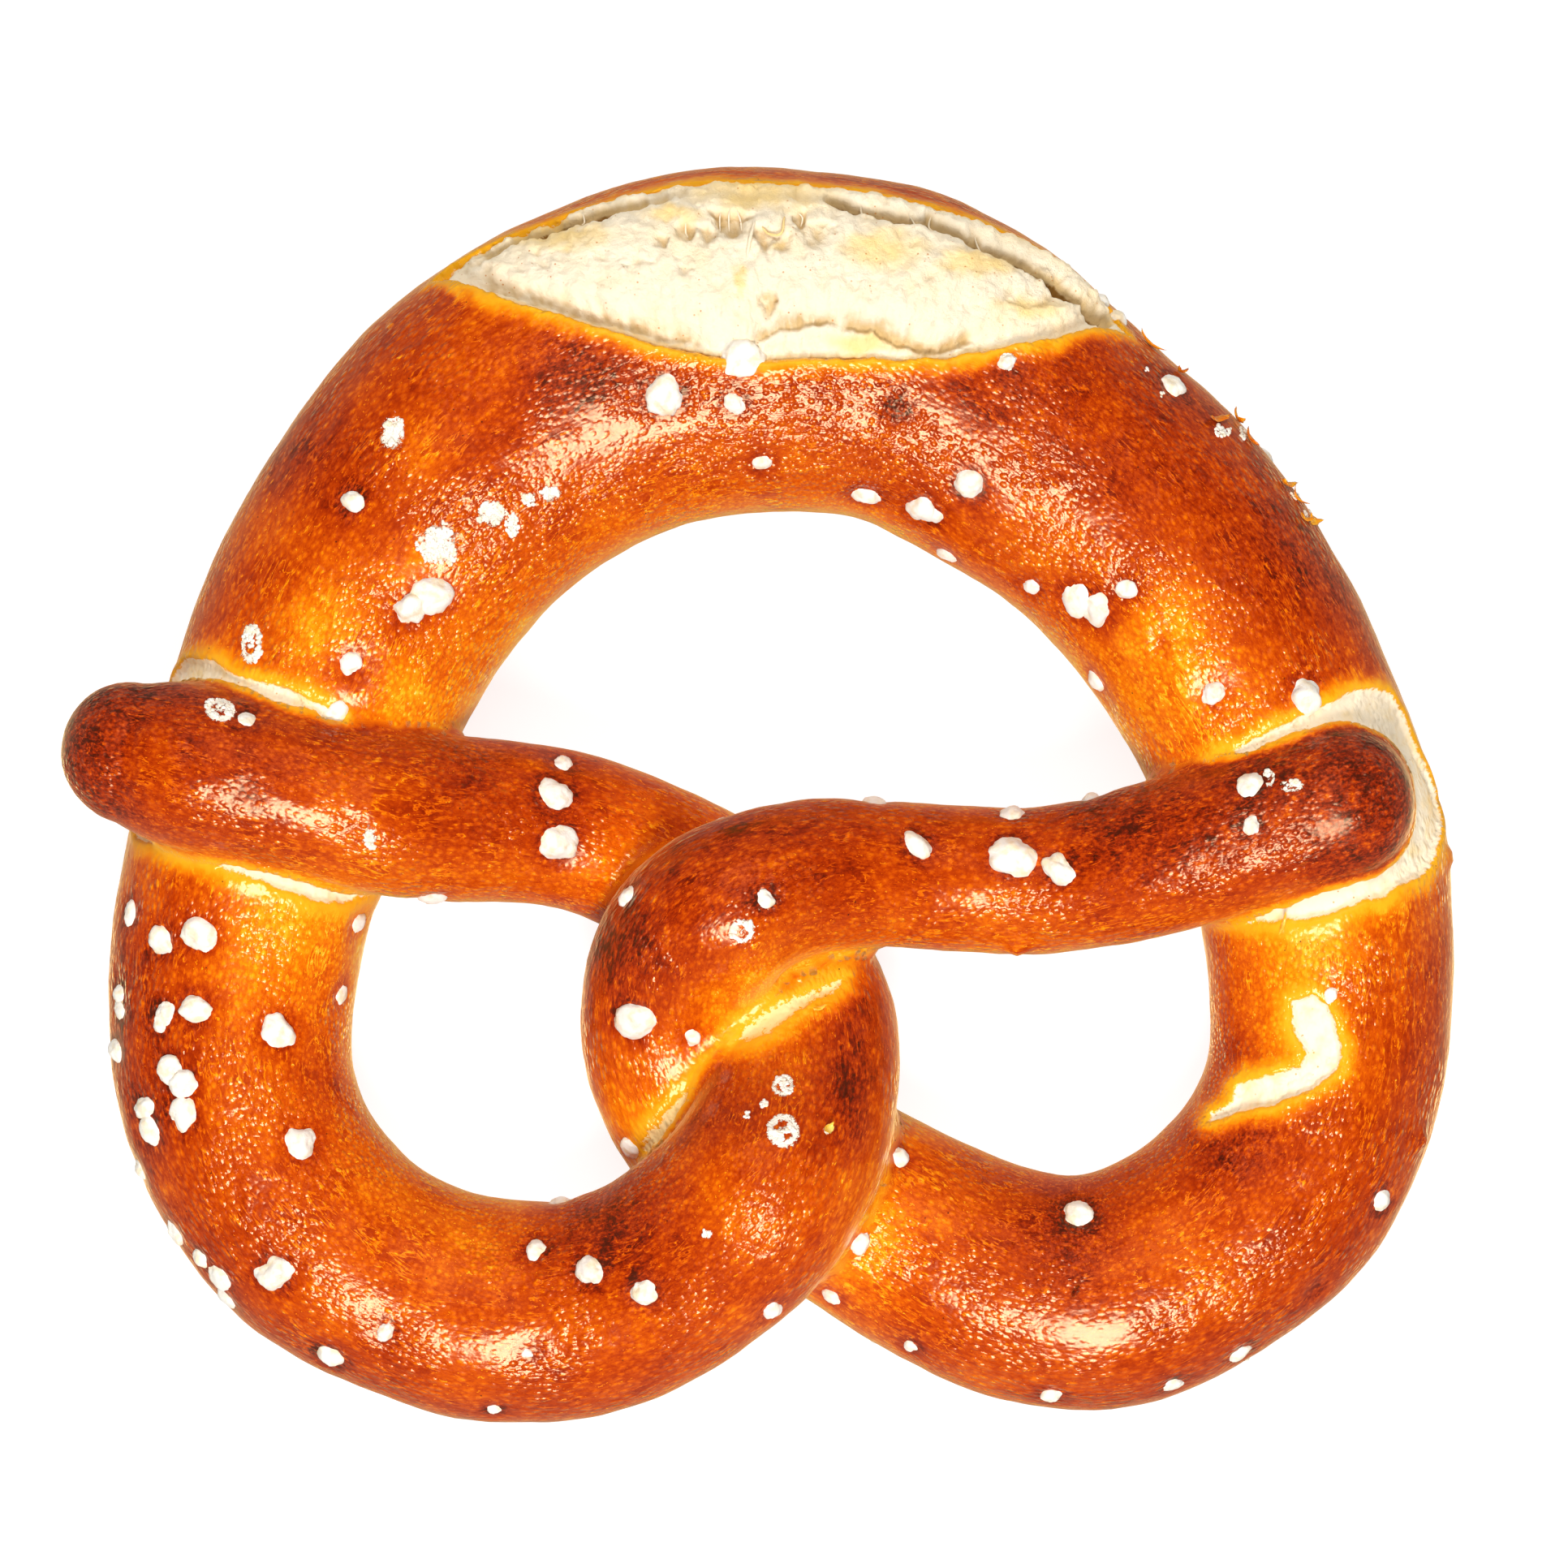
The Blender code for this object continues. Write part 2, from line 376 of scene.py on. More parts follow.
BURST_NEAR_LIP = (
    (-37.3, 59.1), (-34.0, 58.8), (-31.5, 57.9), (-27.7, 56.8), (-23.8, 55.6), (-18.9, 54.1), (-12.1, 51.8),
    (-5.3, 50.4), (0.2, 49.8), (8.1, 50.2), (15.6, 49.9), (21.4, 50.2), (28.4, 51.7), (34.3, 52.8),
    (38.4, 54.1), (42.5, 53.0),
)
BURST_FAR_LIP = (
    (-37.3, 59.1), (-35.3, 60.8), (-32.6, 62.4), (-28.5, 64.3), (-24.4, 65.9), (-21.0, 67.1), (-17.6, 68.0),
    (-13.5, 69.1), (-9.4, 69.8), (-5.3, 70.3), (-0.7, 70.4), (3.7, 70.2), (7.8, 69.9), (12.5, 69.3),
    (16.7, 68.3), (19.7, 67.5), (23.5, 66.3), (28.4, 64.3), (31.4, 62.7), (34.3, 60.8), (37.2, 58.6),
    (40.1, 56.0), (42.5, 53.0),
)
LEFT_TEAR = (
    (-72.0, 16.3), (-67.3, 16.3), (-63.8, 16.0), (-60.2, 14.0), (-57.0, 13.1), (-54.0, 12.2), (-50.4, 10.7),
    (-47.5, 8.8), (-44.0, 3.0), (-43.0, -6.0), (-45.0, -11.5), (-48.0, -12.4), (-51.0, -12.3), (-54.3, -11.1),
    (-57.0, -10.0), (-59.9, -9.2), (-63.5, -7.8), (-66.5, -6.9), (-69.5, -5.6), (-76.0, -3.4),
)
RIGHT_TEAR = (
    (50.0, 3.0), (51.6, 3.8), (54.5, 5.7), (58.4, 7.4), (61.7, 9.1), (64.8, 10.7), (67.9, 12.0), (70.8, 12.5),
    (73.1, 11.8), (74.8, 10.5), (75.9, 8.4), (77.2, 5.8), (84.0, 2.0), (84.0, -4.0), (78.6, -5.5), (77.4, -7.9),
    (76.0, -9.3), (73.4, -10.4), (71.0, -12.1), (69.6, -12.0), (66.5, -13.3), (62.6, -14.2), (59.3, -14.4),
    (55.7, -14.4), (52.4, -13.8), (50.0, -9.0),
)
LOOP_PATCH = (
    (61.0, -23.7), (63.5, -22.9), (65.2, -24.0), (66.2, -26.3), (66.8, -28.8), (66.5, -31.2), (64.6, -32.9),
    (62.0, -34.3), (59.0, -35.7), (55.0, -36.4), (51.5, -37.4), (51.8, -36.4), (54.0, -35.2), (54.6, -33.2),
    (56.5, -32.3), (58.8, -31.9), (62.0, -31.0), (62.5, -29.6), (61.8, -28.0), (61.0, -26.0),
)
TWIST_CREASE = (
    (-3.2, -28.3), (-1.9, -26.2), (0.9, -24.2), (4.4, -22.6), (8.4, -21.0), (9.8, -20.4), (9.6, -21.4),
    (8.4, -22.6), (5.6, -23.6), (1.9, -26.4), (-1.4, -28.3),
)
TWIST_EDGE = (
    (-13.9, -41.0), (-12.9, -38.4), (-10.9, -36.0), (-8.6, -33.7), (-6.4, -31.6), (-5.0, -31.0), (-6.4, -33.8),
    (-8.2, -36.6), (-10.4, -39.4), (-12.3, -41.8),
)
TEARS = (  # outline, first and last station it lies on, depth
    (LEFT_TEAR, 15.0, 20.0, 0.9),
    (RIGHT_TEAR, 26.5, 31.0, 0.9),
    (LOOP_PATCH, 29.0, 33.5, 0.9),
    (TWIST_CREASE, 6.5, 9.5, 0.3),
    (TWIST_CREASE, 38.0, 41.5, 0.3),
    (TWIST_EDGE, 36.0, 39.5, 0.2),
)
TEAR_LOW_ANGLE = -28.0
TEAR_TAPER = 8.5
RAGGED = 0.35
BUMPS = (  # blisters and dimples: x, y, radius, height
    (15.8, 44.2, 1.5, -0.7), (46.1, 17.5, 1.1, -0.5), (63.7, -56.6, 1.3, -0.5), (76.9, -39.9, 1.3, 0.9),
    (79.1, -7.0, 1.2, 0.8), (29.5, -17.7, 1.2, 0.8), (69.3, 2.2, 1.1, -0.6), (71.2, -1.4, 1.0, -0.5),
    (68.8, -2.6, 1.0, 0.4), (72.4, -3.6, 0.8, 0.4), (-70.9, 6.6, 1.2, 0.4), (-66.0, 4.8, 1.1, -0.3),
    (-47.6, -3.2, 1.4, -0.35), (-45.2, -1.2, 1.1, 0.3), (-52.4, 5.4, 1.2, 0.3), (-59.4, 0.6, 1.2, -0.3),
    (36.8, 8.2, 0.9, -0.4), (-28.6, -57.4, 1.2, -0.35), (50.2, -61.0, 1.2, 0.3), (-20.2, 22.0, 1.3, -0.3),
)


class Burst:
    """The long burst along the top of the belly, between a near lip and a far lip."""

    def __init__(self, strands):
        camera = Vector(camera_point())
        self.rope = strands.rope
        self.lips = []
        for line in (BURST_FAR_LIP, BURST_NEAR_LIP):
            hits = []
            for x, y in line:
                target = Vector((x, y, OUTLINE_LEVEL))
                hit = strands.whole.ray_cast(camera, (target - camera).normalized())[0]
                hits.append(hit if hit else strands.whole.find_nearest(target)[0])
            stations, angles, _, _ = strands.locate(np.array([tuple(hit) for hit in hits]))
            order = np.argsort(stations)
            self.lips.append((stations[order], angles[order]))
        self.start = max(lip[0][0] for lip in self.lips)
        self.end = min(lip[0][-1] for lip in self.lips)

    def lip_angles(self, stations):
        far, near = (np.interp(stations, *lip) for lip in self.lips)
        return far, np.maximum(near, far)

    def distances(self, stations, angles):
        """Millimetres inside the far lip and inside the near lip."""
        _, _, _, half_width, half_height = self.rope.sections(stations)
        reach = np.sqrt((half_width * np.sin(angles)) ** 2 + (half_height * np.cos(angles)) ** 2)
        speed = np.interp(stations + 0.5, *self.rope.length_at) - np.interp(stations - 0.5, *self.rope.length_at)
        step = 0.05
        far, near = self.lip_angles(stations)
        far_on, near_on = self.lip_angles(stations + step)
        far_back, near_back = self.lip_angles(stations - step)
        turn = (angles + math.pi / 2) % (2 * math.pi) - math.pi / 2
        result = []
        for gap, on, back in ((turn - far, far_on, far_back), (near - turn, near_on, near_back)):
            slope = (on - back) / (2 * step) / speed
            result.append(gap / np.sqrt(1 / reach**2 + slope**2))
        outside = np.maximum(self.start - stations, 0) + np.maximum(stations - self.end, 0)
        return [value - outside * speed for value in result]


def tear_distance(points, stations, angles, crease):
    """Signed distance inside the torn places at the arms, the right loop and the twist, and their depth."""
    seen = as_seen(points)
    turn = (np.degrees(angles) + 90) % 360 - 90
    result = np.full(len(points), -20.0)
    depths = np.zeros(len(points))
    for outline, low, high, depth in TEARS:
        on_tear = (stations > low) & (stations < high)
        chosen = np.flatnonzero((on_tear | (crease < 2.5)) & (turn > -90))
        inside = inside_distance(seen[chosen], outline)
        above = (turn[chosen] - TEAR_LOW_ANGLE) * math.pi / 180 * 14
        narrower = smoothstep(30.0, TEAR_LOW_ANGLE, turn[chosen]) * TEAR_TAPER
        inside = np.minimum(inside - narrower, above)
        across = np.where(on_tear[chosen], crease[chosen] + 0.05, -1.5 * crease[chosen] - 0.05)
        inside = np.minimum(inside, across)
        deeper = inside > result[chosen]
        result[chosen[deeper]] = inside[deeper]
        depths[chosen[deeper]] = depth
    return result, depths


# ---------------------------------------------------------------- the crust's mesh


def refined(mesh, chosen_faces):
    """The mesh with the chosen faces split into four."""
    bm = bmesh.new()
    bm.from_mesh(mesh)
    bm.faces.ensure_lookup_table()
    edges = {edge for i in chosen_faces for edge in bm.faces[i].edges}
    bmesh.ops.subdivide_edges(bm, edges=list(edges), cuts=1, use_grid_fill=True)
    bm.to_mesh(mesh)
    bm.free()


def face_average(mesh, values):
    corner_vertex = np.empty(len(mesh.loops), dtype=np.int64)
    mesh.loops.foreach_get("vertex_index", corner_vertex)
    starts = np.empty(len(mesh.polygons), dtype=np.int64)
    mesh.polygons.foreach_get("loop_start", starts)
    totals = np.empty(len(mesh.polygons), dtype=np.int64)
    mesh.polygons.foreach_get("loop_total", totals)
    return np.add.reduceat(values[corner_vertex], starts) / totals


rope = Rope()
loft_points, loft_faces, loft_station = loft(rope)
strands = Strands(rope, loft_points, loft_faces, loft_station)
burst = Burst(strands)


def fused_crust():
    """The fused rope laid exactly on the lofted one, with smooth creases and finer lips."""
    mesh = remeshed(loft_points, loft_faces)
    for band in (2.0, 1.0, None):
        points = mesh_points(mesh)
        stations, angles, nearest, _ = strands.locate(points)
        crease = strands.crease(points, stations)
        hold = smoothstep(0.5, 2.4, crease)
        points = points + (nearest - points) * hold[:, None]
        if band == 2.0:
            points = relaxed(points, mesh_edges(mesh), 0.5 * (1 - hold), 14)
        else:
            points = relaxed(points, mesh_edges(mesh), 0.5 * (1 - hold), 2)
        points[:, 2] = np.maximum(points[:, 2], 0)
        mesh.vertices.foreach_set("co", points.ravel())
        mesh.update()
        if band is None:
            break
        far, near = burst.distances(stations, angles)
        torn = np.maximum(np.minimum(far, near), tear_distance(points, stations, angles, crease)[0])
        edge = np.abs(torn) < band * 0.8
        edge |= salt_marks(points)[1] > -0.2
        wanted = face_average(mesh, edge.astype(float)) > 0.5
        refined(mesh, np.flatnonzero(wanted))
    return mesh, points, stations, angles, crease


def store(mesh, name, values, kind="FLOAT"):
    attribute = mesh.attributes.new(name, kind, "POINT")
    attribute.data.foreach_set("vector" if kind == "FLOAT_VECTOR" else "value", np.asarray(values, np.float32).ravel())


# Browning, from 0 for raw dough to 1 for nearly burnt, by station: outer side, top, inner side. Besides browning, these
# values carry painted shade: sides lying away from the light are set darker.
BROWNING_AND_SHADE = (
    (0.80, 0.78, 0.76), (0.70, 0.68, 0.60), (0.64, 0.56, 0.50), (0.64, 0.50, 0.40), (0.64, 0.56, 0.44),
    (0.60, 0.62, 0.50), (0.50, 0.58, 0.56), (0.38, 0.46, 0.54), (0.42, 0.42, 0.56), (0.42, 0.56, 0.70),
    (0.54, 0.64, 0.68), (0.58, 0.62, 0.58), (0.62, 0.55, 0.50), (0.62, 0.53, 0.46), (0.66, 0.55, 0.46),
    (0.70, 0.60, 0.44), (0.66, 0.54, 0.40), (0.45, 0.42, 0.34), (0.53, 0.46, 0.34), (0.63, 0.56, 0.36),
    (0.67, 0.62, 0.40), (0.57, 0.62, 0.44), (0.59, 0.64, 0.42), (0.63, 0.66, 0.42), (0.65, 0.68, 0.46),
    (0.61, 0.70, 0.48), (0.70, 0.64, 0.46), (0.74, 0.58, 0.38), (0.64, 0.46, 0.36), (0.52, 0.38, 0.36),
    (0.64, 0.46, 0.52), (0.64, 0.54, 0.52), (0.64, 0.58, 0.56), (0.64, 0.58, 0.58), (0.60, 0.58, 0.58),
    (0.50, 0.54, 0.54), (0.36, 0.38, 0.40), (0.30, 0.30, 0.30), (0.56, 0.42, 0.28), (0.66, 0.62, 0.42),
    (0.70, 0.68, 0.54), (0.62, 0.64, 0.50), (0.60, 0.58, 0.46), (0.62, 0.56, 0.46), (0.66, 0.60, 0.48),
    (0.70, 0.70, 0.56), (0.80, 0.80, 0.76),
)


BROWN_AND_LIGHT_PATCHES = (  # paler and darker places on top, partly browning and partly painted highlight and painted shade: x, y, radius, change in browning
    (-50.1, 20.7, 6.0, -0.26), (-38.0, 25.3, 5.0, -0.2), (-40.5, 12.0, 5.0, -0.14), (-69.5, 4.0, 5.0, -0.14),
    (-17.8, -8.0, 4.0, -0.18), (47.1, 20.7, 5.0, -0.26), (36.3, 28.0, 3.5, -0.15), (49.9, 11.8, 4.5, -0.2),
    (-20.5, 48.2, 6.5, 0.16), (11.0, -31.4, 5.0, 0.3), (11.5, -23.5, 4.0, 0.26), (10.5, -39.0, 4.0, 0.2),
    (-17.2, -16.6, 5.5, 0.2), (-18.5, -49.0, 5.0, 0.2), (-33.4, 3.7, 5.0, 0.12), (40.9, -2.0, 6.0, 0.14),
    (58.5, 26.7, 6.0, 0.05), (55.3, -39.0, 5.5, 0.2), (35.5, -50.5, 6.0, 0.14), (-66.0, -12.0, 4.0, 0.1),
    (1.5, -21.5, 5.0, -0.2), (-10.5, -33.5, 4.5, 0.06), (12.0, -50.4, 5.0, -0.22), (-1.5, -50.4, 4.0, -0.1),
    (-61.0, -33.0, 8.0, -0.1), (-54.0, -15.0, 6.0, -0.14), (63.0, -17.5, 5.5, -0.2), (59.5, -27.0, 3.0, -0.15),
    (49.0, -50.0, 4.0, -0.08), (-58.0, -20.0, 5.0, -0.08), (54.5, -28.5, 3.5, 0.12), (-38.9, 39.3, 4.0, -0.22),
    (-59.0, 31.8, 5.0, -0.14), (-56.7, 0.1, 5.0, 0.1), (-38.9, -4.6, 5.0, 0.1), (-29.6, -2.7, 4.0, 0.08),
    (-13.8, -2.7, 4.0, -0.1), (41.3, -8.5, 5.0, 0.1), (50.6, -6.4, 5.0, 0.12), (32.5, 33.5, 3.5, -0.12),
    (-3.5, -43.8, 4.5, -0.1), (-50.1, -32.6, 4.0, 0.08), (52.5, -55.9, 4.0, -0.1), (36.6, -59.6, 4.5, 0.1),
)
PATCH_STATIONS = 3.0


# The crust's browning, with painted shade, painted highlight and painted reflection mixed in.
def browning_with_painted_light(points, stations, angles):
    outer, top, inner = spline_through(np.array(BROWNING_AND_SHADE), stations).T
    side = np.cos(angles)
    toward_outer = np.clip(side, 0, 1) ** 1.6
    toward_inner = np.clip(-side, 0, 1) ** 1.3
    brown = top + (outer - top) * toward_outer + (inner - top) * toward_inner
    seen = as_seen(points)
    camera = Vector(camera_point())
    # Some patches are real paler or darker baking; others are painted highlight or painted shade.
    for x, y, radius, change in BROWN_AND_LIGHT_PATCHES:
        target = Vector((x, y, OUTLINE_LEVEL))
        hit = strands.whole.ray_cast(camera, (target - camera).normalized())[0]
        station = strands.locate(np.array([tuple(hit)]))[0][0]
        away = np.linalg.norm(seen - (x, y), axis=1)
        same_strand = np.abs(stations - station) < PATCH_STATIONS
        brown += change * np.exp(-((away / radius) ** 2)) * same_strand
    # Paler on the low sides toward the table: partly less baking near the tray, partly a painted reflection of the pale
    # surroundings along the rims.
    brown -= 0.22 * smoothstep(0.5, 0.0, np.sin(angles))
    brown = np.maximum(brown, 0.2)
    under = smoothstep(-0.35, -0.85, np.sin(angles))
    return brown + (0.5 - brown) * under


def salt_marks(points):
    """How near points are to a grain's foot, and how far inside a patch of burst salt they are."""
    pit = np.zeros(len(points))
    for place, _, size in grain_seats():
        away = np.linalg.norm(points - place, axis=1)
        pit = np.maximum(pit, np.exp(-((np.maximum(away - size * 0.5, 0) / 1.1) ** 2)))
    film = np.full(len(points), -1.0)
    for x, y, width, length, holes in POWDER:
        place, _ = seat(strands.whole, x, y)
        across = (points - place) / (width / 2, length / 2, (width + length) / 4)
        away = np.linalg.norm(across, axis=1)
        disc = 1 - away
        ring = 0.75 - np.abs(away - 0.74) * 2.4
        core = 0.45 - np.abs(away - 0.1) * 1.6
        film = np.maximum(film, np.where(holes > 0.42, np.maximum(ring, core), disc))
    return pit, film


def make_crust():
    mesh, points, stations, angles, crease = fused_crust()
    normals = mesh_normals(mesh)
    far, near = burst.distances(stations, angles)
    tear, tear_depth = tear_distance(points, stations, angles, crease)
    tear = relaxed(tear[:, None], mesh_edges(mesh), 0.5 * smoothstep(2.5, 1.0, crease), 10)[:, 0]
    ragged = noise_at(points, 3.0, 4, 5.0) * 0.8 + noise_at(points, 0.9, 3, 9.0) * 0.4
    burst_in = np.minimum(far, near) + ragged * RAGGED
    tear_in = tear + ragged * RAGGED
    torn = np.maximum(burst_in, tear_in)

    lumps = noise_at(points, 26.0, 2, 1.0) * 0.55 + noise_at(points, 8.0, 2, 3.0) * 0.18
    wrinkles = noise_at(points, 2.6, 3, 7.0) * 0.05
    lift = lumps + wrinkles
    lift *= smoothstep(0.4, 3.0, crease)
    lip = np.exp(-(((torn + 0.7) / 0.8) ** 2)) * 0.16
    floor = smoothstep(-0.1, 0.55, burst_in) * 5.5
    sunk = smoothstep(-0.15, 0.6, tear_in) * tear_depth
    crumb = noise_at(points, 1.1, 3, 12.0) * 0.25 * smoothstep(0.2, 0.8, tear_in) * np.minimum(tear_depth + 0.2, 1)
    pit, film = salt_marks(points)
    lift += lip - floor - sunk + crumb - 0.22 * pit
    # Painted shade: the crust is set darker in the pit round each grain's foot.
    pit_painted_shade = 0.17 * pit
    for x, y, radius, height in BUMPS:
        place, _ = seat(strands.whole, x, y)
        away = np.linalg.norm(points - place, axis=1)
        share = np.exp(-((away / radius) ** 2))
        lift += height * share
        # Painted shade: each dimple is set darker.
        pit_painted_shade += max(-height, 0) * 0.4 * share
    points = points + normals * lift[:, None]
    points[:, 2] = np.maximum(points[:, 2], 0)

    mesh.vertices.foreach_set("co", (points * MM).ravel())
    mesh.update()
    mesh.shade_smooth()
    store(mesh, "bake", browning_with_painted_light(points, stations, angles) + pit_painted_shade)
    store(mesh, "film", film)
    store(mesh, "torn", np.clip(torn, -8, 4))
    store(mesh, "shallow", smoothstep(0.8, 0.3, tear_depth) * (tear > -4) * (burst_in < -4))
    edges = mesh_edges(mesh)
    leaps = edges[np.abs(np.diff(stations[edges], axis=1)[:, 0]) > 2.0]
    steady = np.ones(len(points))
    steady[leaps.ravel()] = 0.0  # where two strands meet, the flow leaps and carries no relief
    store(mesh, "steady", steady)
    centre, sideways, forward, _, _ = rope.sections(stations)
    away = points - centre
    along = rope.arc_length(stations) + (away * forward).sum(1)
    flow = np.stack([along, (away * sideways).sum(1), away[:, 2]], axis=1)
    store(mesh, "flow", flow, "FLOAT_VECTOR")
    made = bpy.data.objects.new("pretzel_crust", mesh)
    bpy.context.scene.collection.objects.link(made)
    print("crust faces", len(mesh.polygons), "tris", sum(len(p.vertices) - 2 for p in mesh.polygons))
    return made


# ---------------------------------------------------------------- the burst's crumb

CRUMB_ROWS = 350
CRUMB_COLUMNS = 120
UNDER_CRUST = 1.3
GROOVE = (  # the gap behind the crumb's pillow: x, y, depth
    (-34.5, 60.6, 0.3), (-31.8, 62.3, 0.8), (-28.0, 63.9, 1.4), (-23.3, 65.7, 2.2), (-19.5, 66.5, 1.6),
    (-16.2, 67.3, 1.2), (-13.5, 67.9, 1.0), (-10.7, 68.6, 0.7), (-6.6, 69.7, 0.2), (2.0, 69.5, 0.0),
    (7.0, 68.6, 0.4), (9.5, 68.0, 2.6), (11.0, 67.6, 2.2), (13.9, 67.0, 1.6), (16.7, 66.3, 2.2), (19.1, 66.0, 2.4),
    (21.4, 65.3, 1.8), (23.5, 64.2, 2.6), (25.5, 63.2, 2.2), (28.4, 62.1, 2.4), (30.5, 61.0, 2.4), (32.8, 59.5, 2.2),
    (37.2, 56.9, 1.8), (40.1, 54.9, 1.2),
)
CAVITIES = (  # holes torn in the crumb, steep behind and shallow in front: x, y, half-size in x and y, depth
    (-11.4, 64.0, 0.9, 0.6, 0.7), (-8.3, 65.0, 1.2, 0.9, 1.0), (-6.3, 64.6, 1.1, 1.0, 1.0), (-3.4, 66.2, 2.3, 1.2, 1.3),
    (0.3, 64.2, 1.4, 1.1, 1.1), (2.4, 63.6, 1.2, 0.8, 0.8), (4.7, 66.3, 0.9, 0.9, 1.1), (6.4, 64.6, 2.4, 1.0, 0.7),
    (1.0, 56.7, 1.2, 1.4, 1.0), (-14.4, 61.2, 1.3, 0.5, 0.5), (-18.5, 62.2, 0.9, 0.4, 0.3), (-5.0, 58.5, 0.6, 0.6, 0.4),
    (-8.6, 60.4, 0.8, 0.5, 0.4), (10.5, 59.0, 1.0, 0.5, 0.3), (19.5, 59.5, 1.0, 0.4, 0.3), (24.5, 56.4, 1.2, 0.5, 0.4),
)
FOLDS = (  # valleys in front of a bulge of crumb: depth, then points
    (1.1, (-1.0, 52.0), (2.1, 53.6), (5.0, 54.2), (8.3, 54.4), (9.2, 53.9)),
    (1.1, (9.0, 53.7), (12.8, 53.7), (15.6, 51.8), (18.9, 51.0), (22.5, 51.7), (25.0, 52.6)),
    (0.7, (-33.5, 59.8), (-27.5, 57.9), (-20.0, 55.3), (-12.0, 52.9), (-6.0, 51.8)),
    (0.4, (27.0, 57.5), (31.0, 56.6), (35.0, 56.8)),
)
TOASTED = (  # yellower places: x, y, half-size in x and y
    (0.2, 69.0, 9.0, 2.2), (14.0, 62.6, 5.5, 2.6), (25.0, 61.0, 6.0, 1.8), (12.4, 52.2, 5.5, 1.4),
    (-22.6, 64.2, 6.0, 1.8), (2.0, 63.3, 0.9, 0.9), (-2.2, 59.3, 0.7, 2.2), (31.0, 56.5, 4.5, 1.5), (-10.0, 66.5, 4.0, 1.0),
)


def one_sided(gap, behind, before):
    """A profile that is 1 at gap 0, dies away slowly for positive gaps and fast for negative ones."""
    return np.exp(-((gap / np.where(gap > 0, behind, before)) ** 2))


def crumb_height(points, stations, angles, far, near):
    """How far the crumb stands proud of the crust's level, in millimetres, with painted shade for its hollows and its
    yellow places.
    """
    seen = as_seen(points)
    edge = np.minimum(far, near)
    across = np.stack([rope.arc_length(stations), angles * 17.0 * 0.35, np.zeros(len(points))], axis=1)
    pillow = -1.1 + 1.1 * smoothstep(0.3, 4.2, near) + 0.6 * smoothstep(3.0, 9.0, np.minimum(near, far * 2))
    pillow += 0.35 * np.exp(-((near / 0.45) ** 2)) + 0.7 * np.exp(-(((far - 1.2) / 1.2) ** 2))
    line = np.array(GROOVE)
    depth = np.interp(seen[:, 0], line[:, 0], line[:, 2])
    from_line = line_distance(seen, line[:, :2])
    wander = noise_at(points, 2.2, 3, 31.0)
    from_line = np.abs(from_line + wander * 0.35)
    groove = depth * np.exp(-((from_line / 0.42) ** 2)) + 0.2 * depth * np.exp(-((from_line / 1.0) ** 2))
    swirl = [noise_at(points, 2.0, 3, seed) for seed in (41.0, 43.0)]
    warped = seen + np.stack(swirl, axis=1) * 0.75
    holes = np.zeros(len(points))
    for x, y, half_x, half_y, hole_depth in CAVITIES:
        beside = np.abs(warped[:, 0] - x) / half_x
        behind = (warped[:, 1] - y) / half_y
        size = np.hypot(beside, np.where(behind > 0, behind, behind * 0.55))
        holes = np.maximum(holes, hole_depth * smoothstep(1.2, 0.8 - 0.5 * (behind < 0), size))
    folds = np.zeros(len(points))
    for fold in FOLDS:
        path = np.array(fold[1:])
        gap = seen[:, 1] + 0.45 * swirl[0] - np.interp(seen[:, 0], path[:, 0], path[:, 1])
        length = smoothstep(path[0, 0] - 0.5, path[0, 0] + 1.5, seen[:, 0])
        length *= smoothstep(path[-1, 0] + 0.5, path[-1, 0] - 1.5, seen[:, 0])
        folds = np.maximum(folds, fold[0] * length * one_sided(gap, 1.5, 0.3))
    soft = noise_at(points, 7.0, 2, 51.0) * 0.45
    fibres = noise_at(across, 0.9, 4, 53.0) * 0.34
    crumbs = noise_at(points, 0.7, 3, 57.0) * 0.12
    flakes = np.maximum(noise_at(points, 2.4, 4, 59.0), 0) * 0.25
    height = pillow - groove - holes - folds + soft + fibres + crumbs + flakes
    tucked = smoothstep(0.2, -UNDER_CRUST, edge)
    height = height * (1 - tucked) - 4.5 * tucked
    # Painted shade: strongest in the groove, the holes and the folds, less on fibres, crumbs and flakes that stand up.
    hollow_shade = np.maximum.reduce([groove / 1.7, holes / 2.0, folds * 0.65]) - fibres * 0.9 - crumbs - flakes * 0.5
    toasted = noise_at(points, 5.0, 3, 61.0) * 0.35
    for x, y, half_x, half_y in TOASTED:
        size = np.hypot((warped[:, 0] - x) / half_x, (warped[:, 1] - y) / half_y)
        toasted = np.maximum(toasted, 0.9 * smoothstep(1.3, 0.3, size) + 0.25 * wander)
    return height, np.clip(hollow_shade, 0, 1), np.clip(toasted, 0, 1)


